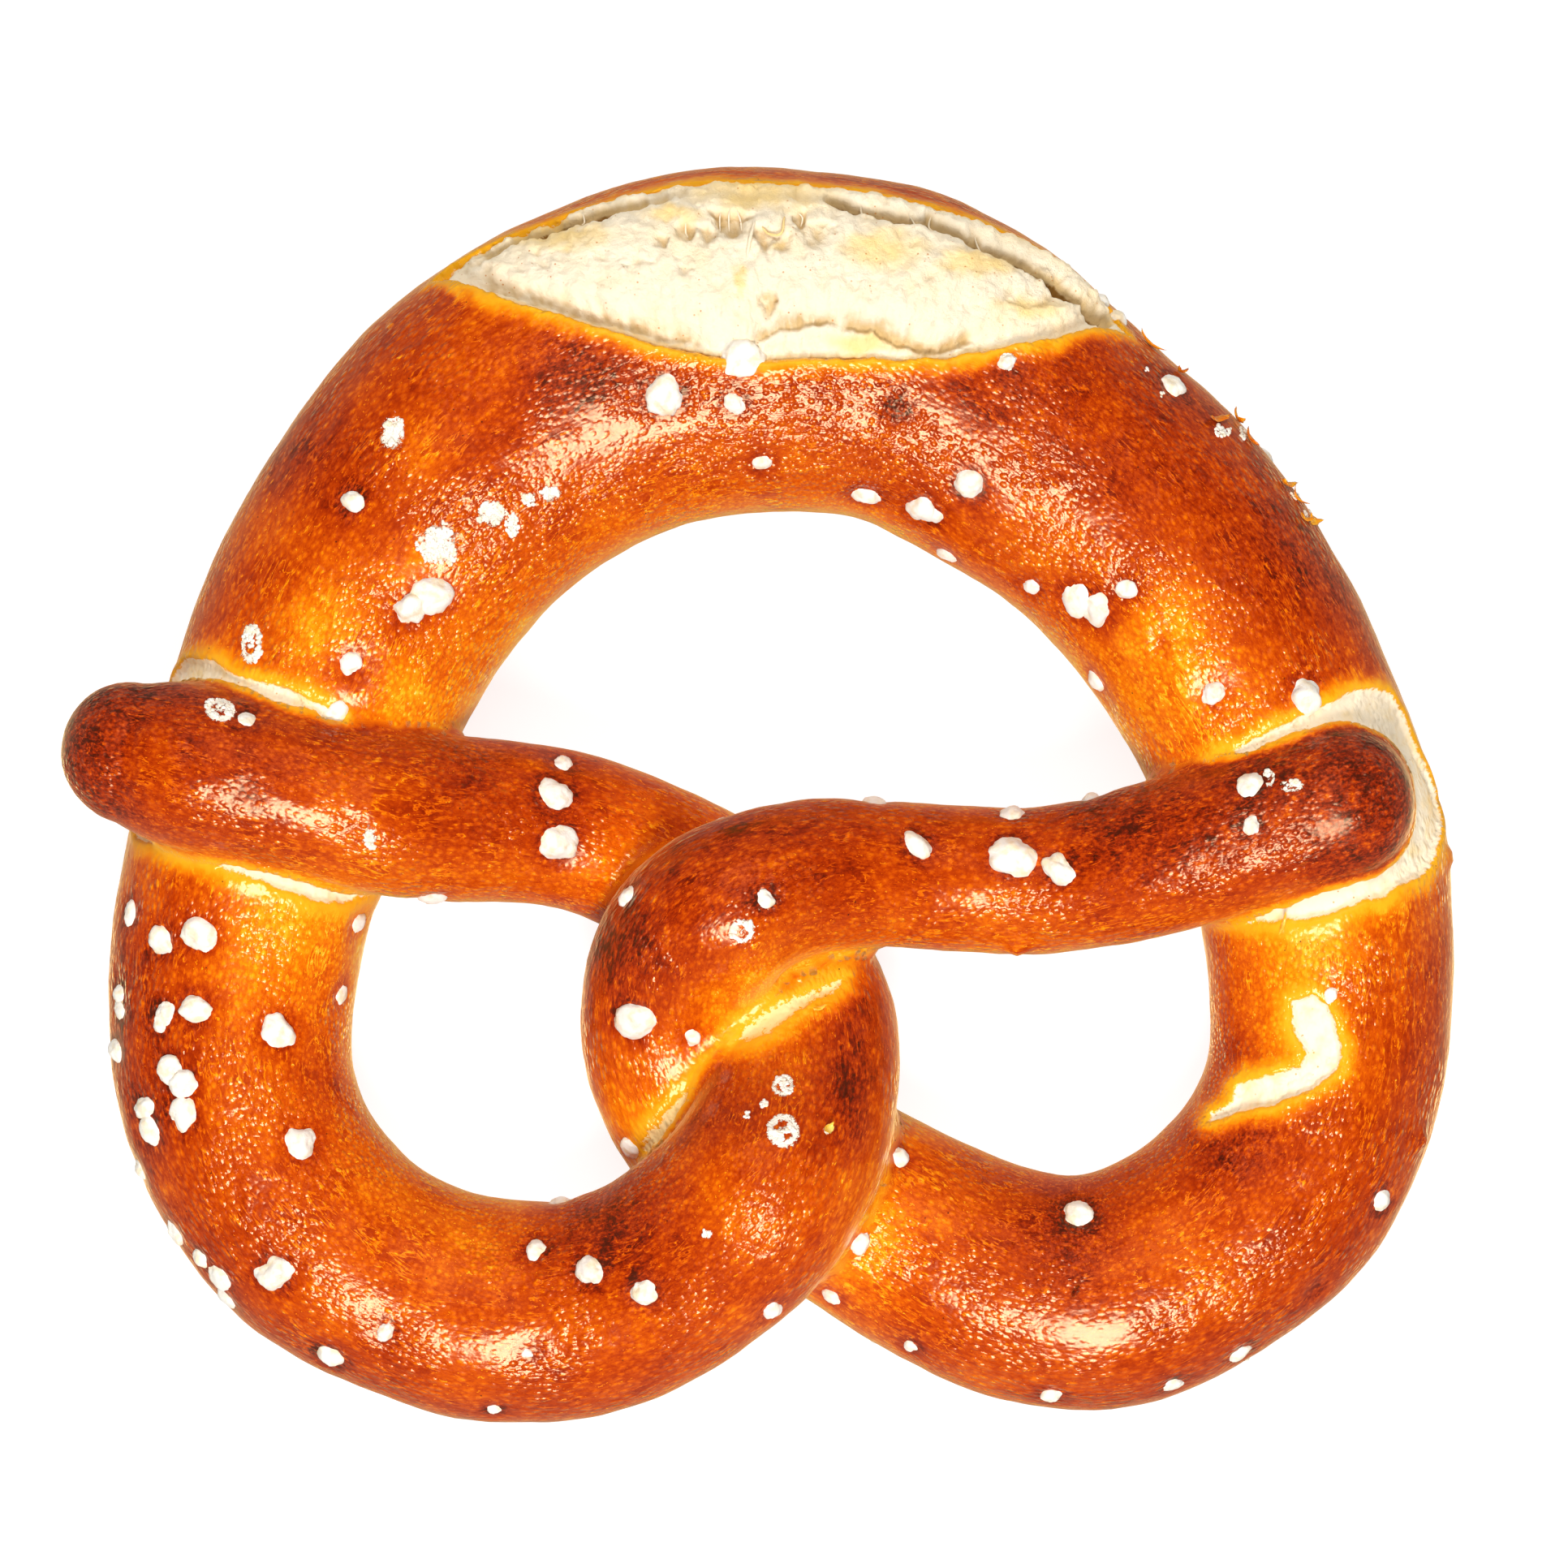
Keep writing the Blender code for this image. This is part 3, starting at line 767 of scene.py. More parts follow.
def make_crumb():
    margin = 0.09
    rows = np.linspace(burst.start - margin, burst.end + margin, CRUMB_ROWS)
    stations = np.repeat(rows, CRUMB_COLUMNS)
    far_lip, near_lip = burst.lip_angles(rows)
    tuck = UNDER_CRUST / 15.0
    share = np.linspace(0, 1, CRUMB_COLUMNS)
    low, high = far_lip - tuck, near_lip + tuck
    angles = (low[:, None] + (high - low)[:, None] * share[None, :]).ravel()
    base = rope.points(stations, angles)
    far, near = burst.distances(stations, angles)
    height, cave_shade, toasted = crumb_height(base, stations, angles, far, near)
    points = rope.points(stations, angles, height)
    faces = []
    for i in range(CRUMB_ROWS - 1):
        for j in range(CRUMB_COLUMNS - 1):
            k = i * CRUMB_COLUMNS + j
            faces.append((k, k + 1, k + CRUMB_COLUMNS + 1, k + CRUMB_COLUMNS))
        k = i * CRUMB_COLUMNS
        last = k + CRUMB_COLUMNS - 1
        faces.append((k, k + CRUMB_COLUMNS, last + CRUMB_COLUMNS, last))
    faces.append(tuple(range(CRUMB_COLUMNS)))
    faces.append(tuple(reversed(range(len(points) - CRUMB_COLUMNS, len(points)))))
    mesh = bpy.data.meshes.new("burst_crumb")
    mesh.from_pydata((points * MM).tolist(), [], faces)
    bm = bmesh.new()
    bm.from_mesh(mesh)
    bmesh.ops.recalc_face_normals(bm, faces=bm.faces)
    bm.to_mesh(mesh)
    bm.free()
    mesh.shade_smooth()
    store(mesh, "cave_shade", cave_shade)
    store(mesh, "toasted", toasted)
    store(mesh, "lip", np.minimum(far, near))
    made = bpy.data.objects.new("burst_crumb", mesh)
    bpy.context.scene.collection.objects.link(made)
    return made


# ---------------------------------------------------------------- salt

GRAINS = (  # as seen from above: x, y, diameter
    # on the belly
    (-2.0, 51.2, 4.2), (-11.0, 46.0, 4.2), (-3.0, 45.2, 2.4), (0.2, 38.3, 2.1), (-47.0, 34.0, 2.4),
    (-40.4, 21.4, 4.0), (-37.5, 23.0, 4.4), (-47.0, 15.2, 2.6), (-49.0, 9.4, 2.8), (12.1, 34.1, 3.0),
    (18.5, 32.6, 3.6), (19.9, 32.2, 2.4), (24.0, 35.7, 3.4), (20.8, 26.5, 2.4), (31.0, 24.0, 2.2),
    (36.4, 22.6, 4.2), (38.6, 21.3, 3.8), (42.1, 23.8, 2.2), (36.9, 12.0, 2.5), (52.0, 11.8, 2.6),
    (62.6, 11.6, 4.4), (47.8, 47.3, 2.8), (40.2, 58.0, 2.2), (42.0, 55.9, 2.4), (28.5, 50.0, 1.8),
    # on the left arm
    (-59.0, 9.1, 2.0), (-22.7, 3.7, 2.6), (-23.6, 0.1, 4.2), (-23.1, -5.6, 4.2), (-5.7, 0.9, 2.4),
    (-37.7, -11.8, 3.0), (-15.2, -11.5, 2.2),
    # on the right arm and the top of the twist
    (0.6, -11.8, 2.1), (18.1, -5.4, 3.0), (13.1, 0.8, 2.8), (28.8, -0.9, 2.8), (37.7, 0.7, 2.2),
    (28.9, -6.7, 4.8), (34.3, -8.4, 3.4), (56.2, 1.5, 3.1), (56.3, -3.4, 2.1), (-14.8, -25.9, 4.4),
    (-7.8, -27.9, 2.0), (-14.9, -40.4, 2.6),
    # on the left loop
    (15.5, -41.4, 2.4), (10.9, -51.0, 2.4), (1.6, -59.3, 2.6), (6.8, -59.4, 2.4), (-13.5, -57.0, 3.2),
    (-19.7, -54.5, 3.0), (-25.9, -52.0, 2.6), (-23.1, -46.5, 2.3), (-56.0, -55.0, 4.2), (-49.6, -64.8, 3.6),
    (-43.2, -61.8, 2.0), (-52.7, -39.7, 3.8), (-55.4, -27.0, 3.8), (-66.6, -33.0, 3.4), (-68.0, -31.4, 3.2),
    (-66.5, -36.6, 3.3), (-71.0, -35.8, 2.8), (-70.2, -38.4, 3.0), (-65.0, -24.5, 3.5), (-68.7, -25.0, 2.4),
    (-69.2, -26.2, 2.0), (-74.1, -29.3, 2.8), (-76.0, -22.8, 2.4), (-75.8, -24.7, 2.2), (-72.4, -13.3, 2.7),
    (-69.2, -16.6, 3.2), (-64.7, -16.0, 3.7), (-71.4, -42.9, 2.3), (-67.5, -50.3, 2.6), (-66.4, -54.6, 2.3),
    (-63.4, -56.4, 3.2), (-61.6, -57.9, 2.6), (-44.0, -15.4, 2.4), (-46.4, -23.2, 2.2), (-30.6, -70.6, 1.5),
    (-26.8, -64.2, 1.3),
    # on the right loop
    (36.5, -48.0, 3.4), (65.6, -22.9, 1.5), (71.4, -46.5, 2.5), (33.3, -70.4, 2.4), (48.1, -69.6, 2.4),
    (56.8, -66.7, 2.8), (16.2, -65.2, 1.8),
)
HIDDEN_GRAINS = (  # on the sides, where the camera doesn't look: station, angle in degrees, diameter
    (20.7, -16.0, 2.2), (23.9, -24.0, 1.8), (26.2, -14.0, 2.1), (14.3, -20.0, 2.0), (32.8, -18.0, 1.9),
    (22.6, 206.0, 1.7), (12.9, -26.0, 1.6), (35.1, -20.0, 2.0),
)
POWDER = (  # patches of burst salt: x, y, width, length, share of holes
    (-42.3, 41.8, 3.4, 5.0, 0.35), (-37.1, 28.9, 5.2, 5.6, 0.12), (-30.9, 32.3, 4.4, 3.0, 0.22),
    (-28.5, 31.2, 1.8, 3.0, 0.10), (-26.6, 34.2, 2.0, 1.6, 0.30), (-24.1, 34.7, 2.6, 2.2, 0.40),
    (-58.6, 17.6, 2.8, 5.0, 0.45), (-62.1, 10.1, 3.6, 4.2, 0.45), (-45.0, -4.7, 1.8, 3.4, 0.35),
    (-2.1, -15.4, 3.0, 3.0, 0.45), (2.6, -33.2, 2.8, 3.2, 0.45), (2.6, -38.4, 4.0, 4.6, 0.60),
    (0.2, -35.2, 1.2, 1.2, 0.10), (-1.6, -36.6, 0.9, 0.8, 0.10), (61.0, 1.2, 3.0, 1.6, 0.50),
    (58.4, 2.2, 1.6, 2.4, 0.60), (-6.1, -50.3, 1.3, 1.3, 0.40), (28.5, 50.0, 2.2, 2.2, 0.50),
    (7.7, -38.4, 0.9, 1.4, 0.10), (53.0, 42.1, 2.4, 1.5, 0.08), (55.6, 42.0, 1.2, 2.0, 0.08),
    (62.0, 35.0, 1.2, 1.3, 0.08), (63.6, 32.9, 1.3, 1.2, 0.08), (44.4, 49.0, 0.8, 0.5, 0.1), (46.2, 46.2, 0.6, 0.9, 0.1),
)


def seat(tree, x, y):
    """Where the camera sees the crust at x, y: the point and the way out of the crust."""
    camera = Vector(camera_point())
    target = Vector((x, y, OUTLINE_LEVEL))
    place, normal, _, _ = tree.ray_cast(camera, (target - camera).normalized())
    if place is None:
        place, normal, _, _ = tree.find_nearest(target)
    return np.array(place), np.array(normal)


def turned_to(normal, spin):
    """A rotation that lays its own Z along `normal`, turned by `spin` about it."""
    up = np.array(normal) / np.linalg.norm(normal)
    helper = np.array([1.0, 0, 0]) if abs(up[0]) < 0.8 else np.array([0, 1.0, 0])
    side = np.cross(up, helper)
    side /= np.linalg.norm(side)
    front = np.cross(up, side)
    cosine, sine = math.cos(spin), math.sin(spin)
    return np.stack([side * cosine + front * sine, front * cosine - side * sine, up], axis=1)


def ball(level):
    bm = bmesh.new()
    bmesh.ops.create_icosphere(bm, subdivisions=level, radius=1.0)
    points = np.array([tuple(vertex.co) for vertex in bm.verts])
    faces = np.array([[vertex.index for vertex in face.verts] for face in bm.faces])
    bm.free()
    return points, faces


def lumpy(directions, seed, facets):
    """A pebble of salt: a ball with a few blunt flats, lobes and a rough skin."""
    radius = np.ones(len(directions))
    for normal, depth in facets:
        facing = directions @ normal
        cut = depth / np.maximum(facing, 1e-3)
        radius = np.where(facing > 0, -np.logaddexp(-radius * 9, -cut * 9) / 9, radius)
    radius += noise_at(directions + seed, 0.8, 2) * 0.15
    radius += noise_at(directions + seed, 0.35, 2) * 0.06
    radius += noise_at(directions + seed, 0.16, 2) * 0.025
    return directions * radius[:, None]


def joined(name, parts):
    """One mesh object from (points in mm, triangles) parts."""
    offsets = np.cumsum([0] + [len(points) for points, _ in parts[:-1]])
    points = np.concatenate([points for points, _ in parts])
    faces = np.concatenate([triangles + offset for (_, triangles), offset in zip(parts, offsets)])
    mesh = bpy.data.meshes.new(name)
    mesh.from_pydata((points * MM).tolist(), [], faces.tolist())
    mesh.shade_smooth()
    made = bpy.data.objects.new(name, mesh)
    bpy.context.scene.collection.objects.link(made)
    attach(made, "root")
    return made


def grain_seats():
    """Every grain's place on the rope, the way out, and its diameter."""
    seats = []
    for x, y, size in GRAINS:
        place, normal = seat(strands.whole, x, y)
        seats.append((place, normal, size))
    for station, degrees, size in HIDDEN_GRAINS:
        angle = np.array([math.radians(degrees)])
        place = rope.points(np.array([station]), angle)[0]
        proud = rope.points(np.array([station]), angle, 1.0)[0]
        seats.append((place, proud - place, size))
    return seats


def make_grains(tree):
    rng = np.random.default_rng(17)
    directions, triangles = ball(4)
    parts = []
    for place, normal, size in grain_seats():
        place, _, _, _ = tree.find_nearest(Vector(place))
        normal = normal / np.linalg.norm(normal)
        facets = []
        for _ in range(5):
            facing = rng.normal(size=3)
            facets.append((facing / np.linalg.norm(facing), rng.uniform(0.8, 1.0)))
        shape = lumpy(directions, rng.uniform(0, 90, 3), facets)
        stretch = np.array([rng.uniform(0.98, 1.22), rng.uniform(0.86, 1.04), rng.uniform(0.72, 0.9)])
        turn = turned_to(normal, rng.uniform(0, 2 * math.pi))
        body = (shape * stretch * size / 2 * 1.16) @ turn.T
        parts.append((body + np.array(place) + normal * size * 0.2, triangles))
    return joined("salt_grains", parts)


def make_powder(tree):
    rng = np.random.default_rng(29)
    directions, triangles = ball(2)
    parts = []
    for x, y, width, length, holes in POWDER:
        spin = rng.uniform(0, math.pi)
        seed = rng.uniform(0, 50, 3)
        wanted = int(width * length * 10)
        made = tries = 0
        while made < wanted and tries < 4000:
            tries += 1
            across, along = rng.uniform(-0.5, 0.5, 2)
            if math.hypot(across, along) > 0.5:
                continue
            at = np.array([x + across * width, y + along * length, 0])
            grain = noise_at((at + seed)[None], 1.3, 3)[0] * 0.5 + 0.5
            rim = 1 - smoothstep(0.28, 0.5, math.hypot(across, along))
            if grain < 0.3 + holes * 0.6 + (1 - rim) * 0.25:
                continue
            place, normal = seat(tree, at[0], at[1])
            size = rng.uniform(0.12, 0.26)
            shape = directions * (1 + noise_at(directions * 1.4 + seed + made, 0.8, 2) * 0.25)[:, None]
            turn = turned_to(normal, spin)
            body = (shape * size * np.array([1.1, 1.0, rng.uniform(0.45, 0.9)])) @ turn.T
            parts.append((body + place + normal * size * 0.2, triangles))
            made += 1
    return joined("salt_powder", parts)


FLAKES = (  # curled bits of crust: x, y, length, width, degrees of turn, browning
    (52.4, 43.2, 3.0, 1.0, 35.0, 0.35), (54.6, 43.4, 2.6, 0.9, -60.0, 0.30), (56.8, 41.6, 3.0, 1.0, -55.0, 0.36),
    (61.0, 36.3, 2.8, 1.0, 40.0, 0.30), (62.8, 35.2, 2.4, 1.1, -40.0, 0.34), (64.8, 32.6, 2.6, 1.0, 70.0, 0.28),
    (62.4, 31.8, 2.2, 0.9, 20.0, 0.32), (44.6, 51.9, 3.6, 1.0, -5.0, 0.25), (48.6, 49.2, 1.4, 0.8, 30.0, 0.4),
    (7.7, -38.4, 1.4, 0.9, 60.0, 0.05), (6.7, -24.5, 1.5, 0.5, 15.0, 0.1), (60.2, -14.6, 2.6, 0.4, 75.0, 0.12),
    (36.2, -57.0, 1.3, 0.6, 50.0, 1.0),
)


def make_flakes(tree):
    rng = np.random.default_rng(41)
    directions, triangles = ball(3)
    parts = []
    browned = []
    for x, y, length, width, degrees, brown in FLAKES:
        place, normal = seat(tree, x, y)
        bent = directions * (1 + noise_at(directions + rng.uniform(0, 50, 3), 0.7, 3) * 0.35)[:, None]
        body = bent * (length / 2, width / 2, 0.16)
        body[:, 2] += 0.6 * (body[:, 0] / length * 2) ** 2 + 0.4 * body[:, 1]
        body = body @ turned_to((0, 0, 1), math.radians(degrees)).T
        body = body @ turned_to(normal, 0.0).T
        parts.append((body + place + normal * 0.25, triangles))
        browned += [brown] * len(body)
    made = joined("crust_flakes", parts)
    everywhere = np.ones(len(browned))
    store(made.data, "bake", browned)
    store(made.data, "torn", everywhere * -8)
    store(made.data, "film", everywhere * -1)
    store(made.data, "shallow", everywhere * 0)
    store(made.data, "flow", np.concatenate([points for points, _ in parts]), "FLOAT_VECTOR")
    return made


THREADS = (  # strings of dough over the burst: thickness, how toasted, then x, y and height over the crumb
    (0.32, 1.0, (0.2, 65.5, 0.1), (1.0, 64.6, 0.4), (2.4, 64.7, 0.5), (2.9, 65.6, 0.5), (2.6, 66.5, 0.3)),
    (0.45, 0.1, (-0.7, 66.0, 0.1), (-1.1, 64.0, 0.25), (-1.6, 61.7, 0.0)),
    (0.20, 0.0, (-2.8, 67.4, 0.0), (-2.4, 66.2, 0.6), (-2.1, 65.0, 0.1)),
    (0.20, 0.0, (-3.5, 67.5, 0.0), (-3.7, 66.2, 0.7), (-3.6, 64.9, 0.1)),
    (0.18, 0.0, (-4.6, 67.1, 0.0), (-4.4, 66.0, 0.6), (-4.7, 64.9, 0.1)),
    (0.20, 0.0, (-8.6, 65.9, 0.0), (-8.3, 65.0, 0.5), (-8.4, 64.2, 0.1)),
    (0.20, 0.0, (4.4, 67.0, 0.0), (4.7, 66.2, 0.5), (4.6, 65.4, 0.1)),
    (0.22, 0.2, (11.6, 67.9, 0.1), (11.9, 67.2, 0.9), (12.2, 66.4, 0.1)),
    (0.20, 0.1, (17.0, 66.9, 0.1), (17.5, 66.1, 1.0), (17.6, 65.4, 0.1)),
    (0.22, 0.2, (19.6, 66.6, 0.1), (19.4, 65.6, 1.0), (19.8, 64.9, 0.1)),
    (0.20, 0.1, (24.6, 64.3, 0.1), (24.8, 63.3, 1.0), (25.2, 62.6, 0.1)),
    (0.20, 0.1, (-20.4, 67.0, 0.1), (-20.2, 66.2, 0.9), (-20.6, 65.6, 0.1)),
)
THREAD_RINGS = 24
THREAD_SIDES = 8


def make_threads(tree):
    turns = np.linspace(0, 2 * math.pi, THREAD_SIDES, endpoint=False)[None, :, None]
    thin = np.sin(np.linspace(0.05, math.pi - 0.05, THREAD_RINGS)) ** 0.3
    triangles = [(0, j, j + 1) for j in range(1, THREAD_SIDES - 1)]
    for i in range(THREAD_RINGS - 1):
        for j in range(THREAD_SIDES):
            low, next_low = i * THREAD_SIDES + j, i * THREAD_SIDES + (j + 1) % THREAD_SIDES
            triangles.append((low, low + THREAD_SIDES, next_low + THREAD_SIDES))
            triangles.append((low, next_low + THREAD_SIDES, next_low))
    end = (THREAD_RINGS - 1) * THREAD_SIDES
    triangles += [(end, end + j + 1, end + j) for j in range(1, THREAD_SIDES - 1)]
    parts = []
    toasted = []
    for thickness, toast, *stops in THREADS:
        path = []
        for x, y, rise in stops:
            place, normal = seat(tree, x, y)
            path.append(place + normal * rise)
        centre = spline_through(path, np.linspace(0, len(path) - 1, THREAD_RINGS))
        along = np.gradient(centre, axis=0)
        side = np.cross(along, (0, 0, 1.0))
        up = np.cross(side, along)
        side /= np.linalg.norm(side, axis=1)[:, None]
        up /= np.linalg.norm(up, axis=1)[:, None]
        ring = side[:, None] * np.cos(turns) + up[:, None] * np.sin(turns)
        points = centre[:, None] + ring * (thin * thickness / 2)[:, None, None]
        parts.append((points.reshape(-1, 3), np.array(triangles)))
        toasted += [toast] * points[..., 0].size
    made = joined("crumb_threads", parts)
    store(made.data, "toasted", toasted)
    store(made.data, "cave_shade", np.zeros(len(toasted)))
    store(made.data, "lip", np.full(len(toasted), 5.0))
    return made


# ---------------------------------------------------------------- materials


class Graph:
    """A Principled material, with short ways to add textures and maths to it. Lengths are in millimetres."""

    def __init__(self, name):
        self.material = bpy.data.materials.new(name)
        self.material.use_nodes = True
        self.tree = self.material.node_tree
        self.shader = self.tree.nodes["Principled BSDF"]
        coordinates = self.tree.nodes.new("ShaderNodeTexCoord")
        self.place = self.vector("SCALE", coordinates.outputs["Object"], Scale=1000.0)
        self.facing = coordinates.outputs["Normal"]

    def feed(self, socket, value):
        if isinstance(value, bpy.types.NodeSocket):
            self.tree.links.new(value, socket)
        else:
            socket.default_value = value

    def node(self, kind, *values, **named):
        made = self.tree.nodes.new(kind)
        for socket, value in zip(made.inputs, values):
            self.feed(socket, value)
        for name, value in named.items():
            self.feed(made.inputs[name.replace("_", " ")], value)
        return made

    def maths(self, operation, *values, clamp=False):
        made = self.tree.nodes.new("ShaderNodeMath")
        made.operation = operation
        made.use_clamp = clamp
        for socket, value in zip(made.inputs, values):
            self.feed(socket, value)
        return made.outputs[0]

    def add(self, *values):
        total = values[0]
        for value in values[1:]:
            total = self.maths("ADD", total, value)
        return total

    def times(self, *values):
        total = values[0]
        for value in values[1:]:
            total = self.maths("MULTIPLY", total, value)
        return total

    def vector(self, operation, first, second=None, **named):
        made = self.tree.nodes.new("ShaderNodeVectorMath")
        made.operation = operation
        self.feed(made.inputs[0], first)
        if second is not None:
            self.feed(made.inputs[1], second)
        for name, value in named.items():
            self.feed(made.inputs[name], value)
        return made.outputs[0]

    def attribute(self, name, vector=False):
        made = self.tree.nodes.new("ShaderNodeAttribute")
        made.attribute_name = name
        return made.outputs["Vector" if vector else "Fac"]

    def noise(self, size, detail=3.0, roughness=0.55, place=None, stretch=(1, 1, 1), warp=0.0):
        """Noise of about -1 to 1 with lumps of `size` millimetres."""
        place = self.place if place is None else place
        place = self.vector("MULTIPLY", place, tuple(value / size for value in stretch))
        made = self.node("ShaderNodeTexNoise", Vector=place, Scale=1.0, Detail=detail, Roughness=roughness)
        made.inputs["Distortion"].default_value = warp
        return self.maths("MULTIPLY_ADD", made.outputs["Fac"], 4.0, -2.0)

    def cells(self, size, feature="F1", place=None):
        made = self.tree.nodes.new("ShaderNodeTexVoronoi")
        made.feature = feature
        place = self.place if place is None else place
        self.feed(made.inputs["Vector"], self.vector("SCALE", place, Scale=1.0 / size))
        made.inputs["Scale"].default_value = 1.0
        return made

    def step(self, value, low, high, start=0.0, end=1.0):
        made = self.tree.nodes.new("ShaderNodeMapRange")
        made.interpolation_type = "SMOOTHSTEP"
        for name, given in zip(("Value", "From Min", "From Max", "To Min", "To Max"), (value, low, high, start, end)):
            self.feed(made.inputs[name], given)
        return made.outputs[0]

    def ramp(self, value, stops):
        made = self.tree.nodes.new("ShaderNodeValToRGB")
        elements = made.color_ramp.elements
        while len(elements) < len(stops):
            elements.new(0.5)
        for element, (position, colour) in zip(elements, stops):
            element.position = position
            element.color = (*colour, 1)
        self.feed(made.inputs["Fac"], value)
        return made.outputs["Color"]

    def mix(self, share, first, second):
        made = self.tree.nodes.new("ShaderNodeMix")
        made.data_type = "RGBA"
        for socket, value in ((made.inputs[0], share), (made.inputs[6], first), (made.inputs[7], second)):
            if not isinstance(value, bpy.types.NodeSocket) and not isinstance(value, float):
                value = (*value, 1)
            self.feed(socket, value)
        return made.outputs[2]

    def bump(self, height, distance, strength=1.0, normal=None):
        made = self.node("ShaderNodeBump", Height=height, Strength=strength)
        made.inputs["Distance"].default_value = distance * MM
        if normal is not None:
            self.feed(made.inputs["Normal"], normal)
        return made.outputs[0]

    def finish(self, **named):
        for name, value in named.items():
            if isinstance(value, tuple) and len(value) == 3:
                value = (*value, 1)
            self.feed(self.shader.inputs[name.replace("_", " ")], value)
        return self.material


BAKE_COLOURS = (
    (0.00, (0.87, 0.60, 0.14)),
    (0.10, (0.88, 0.52, 0.060)),
    (0.20, (0.87, 0.41, 0.012)),
    (0.32, (0.81, 0.25, 0.002)),
    (0.44, (0.70, 0.132, 0.001)),
    (0.55, (0.55, 0.070, 0.0008)),
    (0.65, (0.42, 0.038, 0.0006)),
    (0.75, (0.31, 0.021, 0.0005)),
    (0.86, (0.19, 0.010, 0.0005)),
    (1.00, (0.06, 0.005, 0.001)),
)
CRUMB_PALE = (0.90, 0.77, 0.57)
CRUMB_YELLOW = (0.92, 0.66, 0.28)
# The next two colours are painted shade, laid into the crumb's hollows.
CRUMB_SHADE = (0.58, 0.38, 0.15)
CRUMB_DEEP_SHADE = (0.25, 0.11, 0.02)


def crumb_colour(graph, cave_shade, toasted):
    """Pale crumb, yellower where toasted, with painted shade in its hollows going from beige to dark brown, and sparse
    orange dots.
    """
    colour = graph.mix(toasted, CRUMB_PALE, CRUMB_YELLOW)
    # Painted shade: beige, then dark brown, as the hollows deepen.
    colour = graph.mix(graph.step(cave_shade, 0.05, 0.75, 0.0, 0.9), colour, CRUMB_SHADE)
    colour = graph.mix(graph.step(cave_shade, 0.85, 1.0), colour, CRUMB_DEEP_SHADE)
    speck = graph.cells(0.9)
    dots = graph.times(graph.step(speck.outputs["Distance"], 0.18, 0.08), graph.step(graph.noise(3.0, 2), -0.1, 0.4))
    return graph.mix(graph.times(dots, 0.75), colour, (0.60, 0.22, 0.03))


